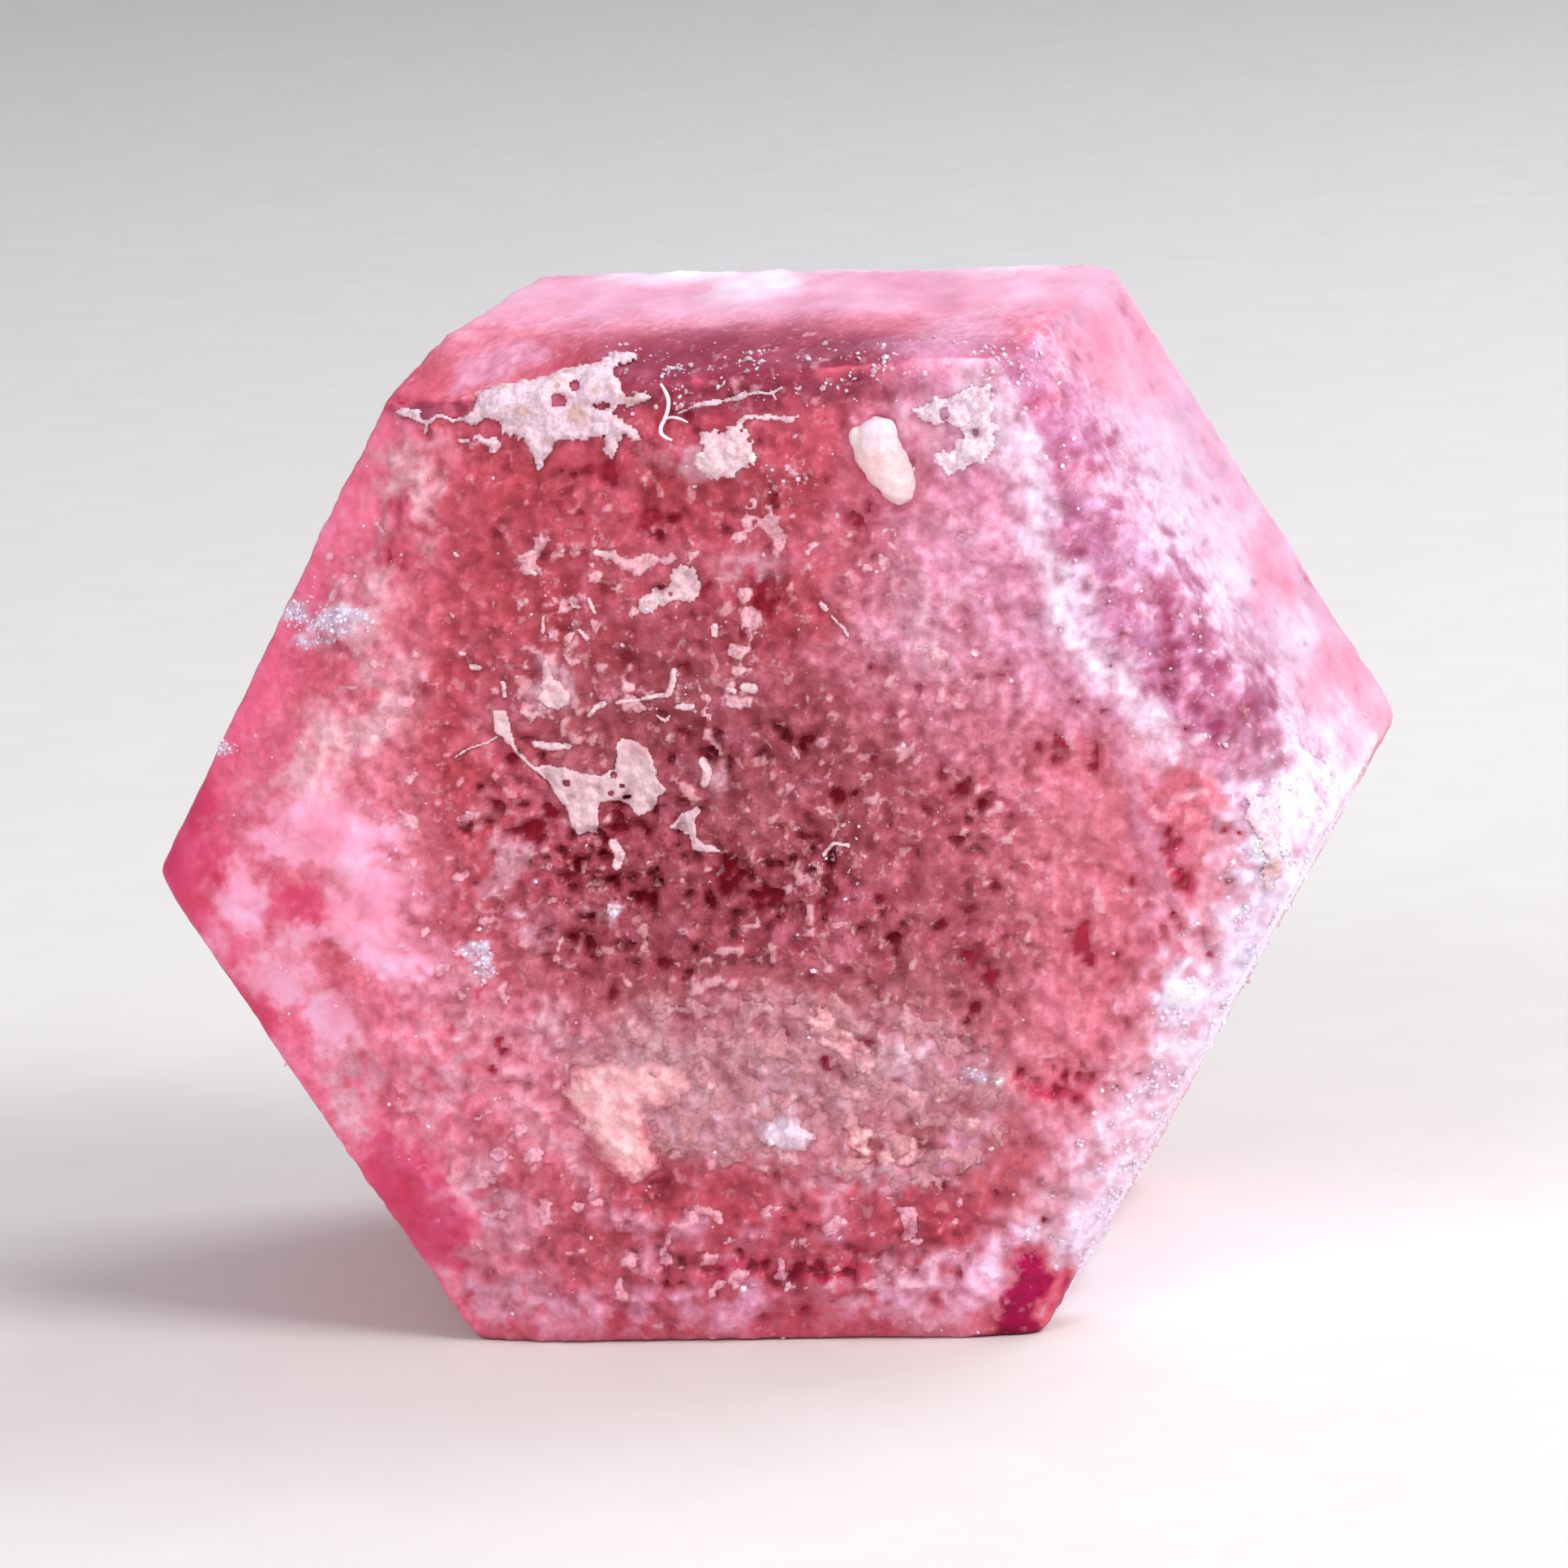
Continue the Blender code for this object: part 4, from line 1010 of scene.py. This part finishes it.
# Small pale flecks of the same film, torn off the flakes and stuck flat round them: a drop-shaped one, a
# beaded line with a blade on its right end, and a dozen crumbs and slivers. They let the red below show.
DROP_OUTLINE = [(-1.28, 1.46), (-1.23, 1.45), (-1.20, 1.34), (-1.13, 1.28), (-1.07, 1.20), (-1.09, 1.12),
                (-1.18, 1.07), (-1.26, 1.10), (-1.30, 1.16), (-1.35, 1.16), (-1.29, 1.24)]
SLIVERS = ((0.028, [(-0.95, 1.04), (-0.90, 1.10), (-0.84, 1.12)]), (0.020, [(-0.74, 1.13), (-0.58, 1.14)]),
           (0.024, [(-0.55, 1.15), (-0.44, 1.17), (-0.36, 1.17)]),
           (0.030, [(-0.31, 1.34), (-0.33, 1.25), (-0.36, 1.18)]), (0.030, [(-0.30, 1.08), (-0.20, 1.08)]),
           (0.018, [(-0.45, 1.02), (-0.40, 0.98), (-0.36, 1.02)]), (0.045, [(0.20, 1.21), (0.26, 1.20)]),
           (0.025, [(0.08, 1.20), (0.12, 1.18)]), (0.032, [(0.01, 1.66), (0.00, 1.60)]),
           (0.034, [(-1.36, 0.84), (-1.26, 0.82), (-1.12, 0.82)]),
           (0.014, [(-1.96, 0.76), (-1.86, 0.82), (-1.72, 0.86), (-1.64, 0.90)]),
           (0.040, [(-0.14, 0.68), (-0.11, 0.60), (-0.14, 0.52)]),
           (0.045, [(-0.84, 0.10), (-0.79, 0.02), (-0.82, -0.06)]),
           (0.022, [(-0.90, -0.36), (-0.82, -0.37)]), (0.028, [(0.79, 1.80), (0.82, 1.76)]),
           (0.020, [(0.86, 1.70), (0.94, 1.62), (0.97, 1.56)]),
           (0.022, [(0.70, -0.02), (0.78, 0.06), (0.88, 0.04)]), (0.024, [(-0.98, 1.66), (-0.93, 1.60)]),
           (0.020, [(-1.24, 1.76), (-1.25, 1.66)]), (0.022, [(-1.02, 1.84), (-0.97, 1.83)]),
           (0.024, [(-0.90, 1.88), (-0.86, 1.78)]), (0.022, [(-1.87, 1.52), (-1.84, 1.51)]),
           (0.028, [(-1.79, 1.42), (-1.74, 1.41)]), (0.026, [(-1.57, 1.29), (-1.56, 1.20)]),
           (0.020, [(-1.86, 2.25), (-1.84, 2.23)]), (0.018, [(-1.92, 1.81), (-1.90, 1.79)]),
           (0.032, [(-0.82, 2.22), (-0.72, 2.20)]), (0.026, [(-1.34, 2.10), (-1.28, 2.08)]))
pale_flecks = grow_crust("pale_film_flecks", DROP_OUTLINE, 0.030, ragged=0.022, taper=0.022, lump=0.07,
                         lumpy=0.45, strands=SLIVERS, proud=0.0, step=0.012, shift=13.0)
fleck_film = crust_material("pale film flecks", tone(244, 210, 216), tone(228, 176, 186),
                            tone(236, 196, 206), glow=0.3, gloss=0.5, clear_rim=0.5, bumps=0.012)
fix_on(pale_flecks, fleck_film)


# Cream and beige crusts in a row under the top ridge: a stained beige patch under a bright white rod,
# and a lacy patch at the upper right. They are earthy carbonate and clay, grown on and a little waxy.
PATCH_OUTLINE = [(-0.01, 3.07), (0.10, 3.08), (0.24, 3.09), (0.34, 3.06), (0.38, 2.96), (0.43, 2.86),
                 (0.34, 2.80), (0.20, 2.74), (0.07, 2.72), (-0.04, 2.75), (-0.06, 2.86), (-0.02, 2.96)]
PATCH_ROD = ((0.024, [(0.26, 3.05), (0.28, 3.12), (0.34, 3.16), (0.50, 3.15), (0.66, 3.13)]),
             (0.012, [(0.64, 3.13), (0.72, 3.15)]))
middle_crust = grow_crust("beige_patch_crust", PATCH_OUTLINE, 0.06, ragged=0.045, taper=0.12, lump=0.12,
                          strands=PATCH_ROD, step=0.011, shift=3.0)
earthy = crust_material("beige earthy crust", tone(246, 218, 224), tone(226, 178, 188),
                        tone(250, 236, 240), glow=0.4, gloss=0.55, stain_from=0.56)
fix_on(middle_crust, earthy, "middle_crust")

CORNER_OUTLINE = [(1.56, 3.16), (1.66, 3.24), (1.72, 3.27), (1.86, 3.28), (1.98, 3.33), (2.10, 3.34),
                  (2.13, 3.24), (2.10, 3.10), (2.13, 2.98), (2.10, 2.86), (2.02, 2.76), (1.88, 2.73),
                  (1.76, 2.70), (1.66, 2.76), (1.64, 2.84), (1.76, 2.88), (1.86, 2.93), (1.87, 3.02),
                  (1.78, 3.06), (1.66, 3.06), (1.58, 3.08)]
CORNER_HOLES = ((1.76, 3.13, 0.035, 0.04), (1.98, 2.98, 0.02, 0.02))
corner_crust = grow_crust("lacy_corner_crust", CORNER_OUTLINE, 0.055, ragged=0.05, taper=0.09, lump=0.14,
                          lumpy=0.6, holes=CORNER_HOLES, step=0.012, shift=5.0)
cream = crust_material("cream lacy crust", tone(250, 232, 244), tone(230, 186, 204), tone(224, 192, 192),
                       glow=0.4, gloss=0.5, stain_from=0.56)
fix_on(corner_crust, cream, "corner_crust")


# The cream grain is one waxy tooth-shaped mineral grain, stuck beside the corner crust. It has a flat
# bright cap, a small spur on its left, and a body that leans down to the right and ends round.
# Five lobes, each with its centre, half sizes and lean in degrees
LOBES = (((1.28, -0.03, 3.02), (0.135, 0.10, 0.115), 0), ((1.27, -0.03, 2.88), (0.175, 0.12, 0.16), -10),
         ((1.33, -0.03, 2.78), (0.165, 0.12, 0.20), -24), ((1.39, -0.03, 2.66), (0.130, 0.11, 0.16), -24),
         ((1.12, -0.02, 2.99), (0.050, 0.05, 0.08), 15))
bpy.ops.object.select_all(action="DESELECT")
lobes = []
for centre, half, lean in LOBES:
    bpy.ops.mesh.primitive_uv_sphere_add(segments=32, ring_count=24, radius=1, location=centre,
                                         rotation=(0, radians(lean), 0), scale=half)
    lobes.append(bpy.context.object)
for lobe in lobes:
    lobe.select_set(True)
bpy.context.view_layer.objects.active = lobes[0]
bpy.ops.object.join()
cream_grain = bpy.context.object
cream_grain.name = "cream_tooth_grain"
bpy.ops.object.transform_apply(location=True, rotation=True, scale=True)
welded = cream_grain.modifiers.new("one body", "REMESH")
welded.mode = "VOXEL"
welded.voxel_size = 0.014
bpy.ops.object.modifier_apply(modifier=welded.name)
relaxed = cream_grain.modifiers.new("melted joins", "SMOOTH")
relaxed.iterations = 8
bpy.ops.object.modifier_apply(modifier=relaxed.name)
points, normals = read_points(cream_grain.data)
points += normals * (0.016 * rough(points, 0.16, 3, 1.0) + 0.010 * pebbled(points, 0.08, 2.0)
                     + 0.004 * rough(points, 0.04, 2, 4.0))[:, None]
cream_grain.data.vertices.foreach_set("co", points.ravel())
wax, tree, shader, where = new_material("waxy cream grain")
cloudy = grain(tree, where, 0.16, 3.0)
fine = grain(tree, where, 0.03, 3.0, 0.7)
height = put(tree, "ShaderNodeSeparateXYZ", {0: where}).outputs["Z"]
# Paler towards the top: a painted highlight on the flat cap
high_up = rise(tree, height, AXIS_HEIGHT + 2.85 * MM, AXIS_HEIGHT + 3.10 * MM)
colour = blend(tree, high_up, tone(238, 200, 204), tone(248, 226, 246))
colour = blend(tree, rise(tree, cloudy, 0.45, 0.66), colour, tone(246, 220, 222))
colour = blend(tree, times(tree, rise(tree, fine, 0.56, 0.70), 0.5), colour, tone(224, 180, 186))
fill(tree, shader, {"Base Color": colour, "Roughness": 0.38})
let_light_in(tree, shader, 0.6, (1.0, 0.75, 0.65), 0.15)
emboss(tree, shader, fine, 0.7, 0.012)
fix_on(cream_grain, wax, "cream_grain")


# Salmon pink crusts low on the end face, soft granular patches of iron-stained clay, the left one with a
# smooth bright lobe at its foot, and one small bluish white speck between them.
LEFT_OUTLINE = [(-1.30, -1.62), (-1.22, -1.50), (-1.02, -1.48), (-0.86, -1.52), (-0.66, -1.50),
                (-0.50, -1.52), (-0.36, -1.62), (-0.36, -1.74), (-0.52, -1.84), (-0.66, -1.86),
                (-0.70, -2.02), (-0.64, -2.16), (-0.64, -2.32), (-0.73, -2.40), (-0.87, -2.40),
                (-1.00, -2.34), (-1.09, -2.26), (-1.17, -2.14), (-1.22, -2.00), (-1.28, -1.86),
                (-1.36, -1.74)]
left_pink = grow_crust("left_salmon_crust", LEFT_OUTLINE, 0.070, ragged=0.05, taper=0.20, lump=0.22,
                       lumpy=0.25, proud=-0.1, step=0.014, shift=9.0)
salmon = crust_material("salmon clay crust", tone(255, 200, 204), tone(248, 172, 180),
                        tone(255, 212, 216), glow=0.6, gloss=0.65, clear_rim=0.75, bumps=0.014)
fix_on(left_pink, salmon, "left_pink_crust")

RIGHT_OUTLINE = [(0.46, -1.22), (0.54, -1.14), (0.66, -1.12), (0.74, -1.22), (0.82, -1.30), (0.90, -1.34),
                 (1.00, -1.42), (1.02, -1.56), (0.92, -1.66), (0.80, -1.62), (0.72, -1.52), (0.62, -1.44),
                 (0.52, -1.34)]
RIGHT_HOLES = ((0.70, -1.36, 0.04, 0.03), (0.86, -1.50, 0.03, 0.03))
right_pink = grow_crust("right_salmon_crust", RIGHT_OUTLINE, 0.06, ragged=0.06, taper=0.10, lump=0.12,
                        proud=-0.1, holes=RIGHT_HOLES, step=0.014, shift=10.0)
fix_on(right_pink, salmon, "right_pink_crust")

LOWER_OUTLINE = [(0.70, -1.98), (0.82, -1.92), (0.92, -2.02), (1.06, -2.06), (1.20, -2.10), (1.34, -2.14),
                 (1.26, -2.26), (1.12, -2.34), (0.98, -2.36), (0.84, -2.26), (0.74, -2.14)]
LOWER_HOLES = ((0.96, -2.16, 0.04, 0.03), (1.12, -2.20, 0.03, 0.03))
lower_pink = grow_crust("lower_salmon_crust", LOWER_OUTLINE, 0.05, ragged=0.065, taper=0.10, lump=0.12,
                        proud=-0.1, holes=LOWER_HOLES, step=0.014, shift=11.0)
fix_on(lower_pink, salmon, "lower_pink_crust")

SPECK_OUTLINE = [(0.08, -2.07), (0.14, -1.97), (0.26, -1.93), (0.40, -1.95), (0.50, -2.02), (0.53, -2.12),
                 (0.42, -2.20), (0.28, -2.22), (0.14, -2.18)]
white_speck = grow_crust("bluish_white_speck", SPECK_OUTLINE, 0.045, ragged=0.022, taper=0.16, lump=0.14,
                         lumpy=0.3, proud=-0.1, step=0.012, shift=12.0)
milky = crust_material("bluish white speck", tone(248, 226, 240), tone(230, 194, 212),
                       tone(220, 178, 196), glow=0.6, gloss=0.5, stain_from=0.60, clear_rim=0.4,
                       bumps=0.012)
fix_on(white_speck, milky, "white_speck")


# Scabs of the same clay and film, broken into crumbly islets a tenth or two of a millimetre wide. They
# are thick and salmon beige low on the end face, thin and pale round the hollow's rim, and dull pink
# in the dark middle. Each islet is grown flat onto the crystal.
LOW_SCABS = [(-1.35, -1.35), (-0.7, -1.1), (0.1, -1.05), (0.9, -1.0), (1.5, -1.2), (1.95, -1.6),
             (1.9, -2.2), (1.4, -2.5), (0.5, -2.45), (-0.3, -2.3), (-0.6, -2.2), (-1.3, -2.1)]
UPPER_SCABS = [(-1.5, 1.0), (-1.6, 1.9), (-1.2, 2.5), (-0.2, 2.2), (0.6, 2.75), (1.0, 2.5), (1.3, 2.3),
               (2.0, 2.3), (2.0, 1.2), (1.2, 1.1), (0.7, 1.8), (0.3, 1.0)]
LEFT_SCABS = [(-2.9, 2.4), (-2.3, 2.7), (-2.1, 1.8), (-2.15, 0.8), (-1.6, 0.4), (-1.6, -0.9), (-2.1, -1.4),
              (-2.3, -0.6), (-2.5, 0.5), (-3.0, 1.2)]
MIDDLE_SCABS = [(-1.5, 0.1), (-1.4, -0.9), (-0.6, -1.1), (0.3, -1.0), (1.2, -0.7), (1.3, 0.5), (0.4, 0.9),
                (0.0, 0.3), (-0.6, 0.0)]
FOOT_SCABS = [(-2.3, -2.2), (-1.7, -1.6), (-1.45, -2.3), (-0.8, -2.5), (0.6, -2.6), (1.6, -2.5),
              (1.6, -3.2), (-1.9, -3.3)]
# Name, outline, thickness, islet size and how few they are, light tone, shade tone
SCABS = (("low_clay_scabs", LOW_SCABS, 0.045, (0.17, -0.1), tone(210, 150, 157), tone(184, 118, 130)),
         ("upper_film_scabs", UPPER_SCABS, 0.032, (0.17, 0.25), tone(244, 190, 202), tone(216, 138, 152)),
         ("left_film_scabs", LEFT_SCABS, 0.026, (0.18, 0.34), tone(244, 182, 198), tone(226, 140, 162)),
         ("middle_film_scabs", MIDDLE_SCABS, 0.030, (0.12, 0.25), tone(228, 166, 174), tone(190, 112, 124)),
         ("foot_film_scabs", FOOT_SCABS, 0.032, (0.18, 0.20), tone(240, 176, 194), tone(216, 130, 150)))
PALE_STAIN = tone(250, 214, 222)
for number, (name, outline, thickness, broken, light, shade) in enumerate(SCABS):
    scab = grow_crust(name, outline, thickness, ragged=0.10, taper=0.05, lump=0.09, broken=broken,
                      proud=-0.25, step=0.018, shift=20.0 + number)
    stain = tuple((first + second) / 2 for first, second in zip(light, PALE_STAIN))
    clay = crust_material(name.replace("_", " "), light, shade, stain, stain_from=0.58, glow=0.2,
                          clear_rim=0.55, bumps=0.012)
    fix_on(scab, clay)


# One white fibre of lint, thinner than a hair, hangs over the top ridge and clings to the end face. It is
# a soft round thread with a short side branch, frayed to a point at both ends.
FIBRE_ROUTE = ((-0.275, 3.42), (-0.225, 3.34), (-0.225, 3.25), (-0.262, 3.16), (-0.300, 3.10),
               (-0.290, 3.04), (-0.215, 3.01))
BRANCH_ROUTE = ((-0.262, 3.165), (-0.220, 3.178), (-0.180, 3.172), (-0.140, 3.160), (-0.095, 3.135))
FIBRE_RADIUS = 0.015
FIBRE_STANDOFF = 0.045
FIBRE_TIP = 0.55


def thread(route, radius):
    """A tapered round thread through points that stand a little off the crystal."""
    bpy.ops.object.select_all(action="DESELECT")
    bpy.ops.curve.primitive_nurbs_path_add()
    path = bpy.context.object
    curve = path.data
    spline = curve.splines[0]
    spline.points.add(len(route) - len(spline.points))
    for number, (x, z) in enumerate(route):
        ray, hit, _, _ = cast(x, z)
        spline.points[number].co = (*(hit - ray * FIBRE_STANDOFF), 1)
    spline.points[0].radius = spline.points[-1].radius = FIBRE_TIP
    spline.order_u = 3
    spline.use_endpoint_u = True
    curve.dimensions = "3D"
    curve.bevel_depth = radius
    curve.bevel_resolution = 3
    curve.resolution_u = 12
    curve.use_fill_caps = True
    bpy.ops.object.convert(target="MESH")
    return bpy.context.object


branch = thread(BRANCH_ROUTE, 0.7 * FIBRE_RADIUS)
fibre = thread(FIBRE_ROUTE, FIBRE_RADIUS)
branch.select_set(True)
bpy.ops.object.join()
fibre.name = "lint_fibre"
bpy.ops.object.transform_apply(location=True, rotation=True, scale=True)
lint, tree, shader, where = new_material("white lint")
fuzz = grain(tree, where, 0.02, 3.0)
colour = blend(tree, fuzz, tone(240, 214, 224), tone(255, 246, 250))
fill(tree, shader, {"Base Color": colour, "Roughness": 0.5})
let_light_in(tree, shader, 0.3, (1.0, 0.2, 0.1), 0.03)
emboss(tree, shader, fuzz, 0.5, 0.006)
fix_on(fibre, lint, "fibre")


# Glassy frost grains, crowded along the lower right margin, the top ridge and in a few glint spots, with
# stray ones over the end face. Each is a tiny chip half sunk in the crystal's skin, so it is held
# where it lies. Their near-white tone is partly the frost's own and partly painted glints.
GRAIN_COUNT = 3000
SMALLEST_GRAIN = 0.006
LARGEST_GRAIN = 0.024
GRAIN_SUNK = 0.35
# Near-white chip tone: partly the frost's own white, partly painted glints
GRAIN_TONE = tone(252, 234, 250)
GRAIN_SEED = 11


def scatter(name, likely, count):
    """One mesh of many small chips, seated on the crystal's vertices where likely says."""
    draw = np.random.default_rng(GRAIN_SEED)
    chosen = draw.choice(len(seats), size=count, p=likely / likely.sum())
    bpy.ops.object.select_all(action="DESELECT")
    bpy.ops.mesh.primitive_ico_sphere_add(subdivisions=1, radius=1)
    pattern = bpy.context.object
    corners, _ = read_points(pattern.data)
    faces = np.array([tuple(face.vertices) for face in pattern.data.polygons])
    bpy.data.objects.remove(pattern)
    size = SMALLEST_GRAIN * (LARGEST_GRAIN / SMALLEST_GRAIN) ** (draw.random(count) ** 1.6)
    turn = np.linalg.qr(draw.normal(size=(count, 3, 3)))[0]
    turn[:, 0] *= np.linalg.det(turn)[:, None]
    stretch = size[:, None] * draw.uniform(0.5, 1.3, (count, 3))
    bulges = 1 + 0.35 * np.tanh(corners @ draw.normal(size=(count, 3, 2))).sum(axis=2)[:, :, None]
    chips = np.einsum("nij,nkj->nki", turn, corners[None] * bulges * stretch[:, None])
    centres = seats[chosen] + seat_normals[chosen] * (size * (0.5 - GRAIN_SUNK))[:, None]
    centres += draw.normal(scale=0.010, size=(count, 3)) * (1 - np.abs(seat_normals[chosen]))
    chips += centres[:, None]
    placed = (faces[None] + (np.arange(count) * len(corners))[:, None, None]).reshape(-1, 3)
    made = bpy.data.meshes.new(name)
    made.from_pydata(chips.reshape(-1, 3).tolist(), [], placed.tolist())
    piece = bpy.data.objects.new(name, made)
    bpy.context.scene.collection.objects.link(piece)
    paler = draw.random(count)[:, None] ** 1.5 * 0.6 + 0.4
    shade = paint[chosen] * (1 - paler) + np.array(GRAIN_TONE[:3]) * paler
    keep_film(made, np.repeat(shade, len(corners), axis=0))
    return piece


# The grains crowd where the film is frosty, along the top ridge and in the glint spots, with none on the
# windows
EDGE_GLINT_SPOT = (-3.68, 0.90, 0.07, 0.05)
on_ridge = smooth(drawn[:, 2], 3.15, 3.3) * smooth(-drawn[:, 2], -3.75, -3.5)
on_ridge *= smooth(drawn[:, 0], -1.0, -0.3) * (depth_y < 1.2)
clumped = smooth(rough(seats, 0.14, 2, 21.0), 0.0, 0.4)
frosty = (0.8 * frost + 0.35 * on_ridge + 0.05 * shoulder * (depth_y < 1.0)) * clumped
frosty += on_front(*GLINT_SPOTS) + 0.15 * speckled * clumped + 0.003 * front
frosty *= 1 - window
frosty += on_front(EDGE_GLINT_SPOT) + 0.012 * behind * clumped
frost_grains = scatter("frost_grains", frosty, GRAIN_COUNT)
glassy_frost, tree, shader, where = new_material("glassy frost")
colour = kept(tree, "film", "Color")
powder = grain(tree, where, 0.03, 2.0)
shading = blend(tree, rise(tree, powder, 0.3, 0.7), (0.80, 0.74, 0.76, 1), (1.12, 1.18, 1.16, 1))
shaded = blend(tree, 1.0, colour, shading, "MULTIPLY")
fill(tree, shader, {"Base Color": shaded, "Roughness": 0.16, "IOR": BERYL_IOR})
let_light_in(tree, shader, 0.4, (1.0, 0.5, 0.5), 0.05)
frost_grains.data.materials.append(glassy_frost)
settle(frost_grains)
bpy.ops.object.shade_flat()
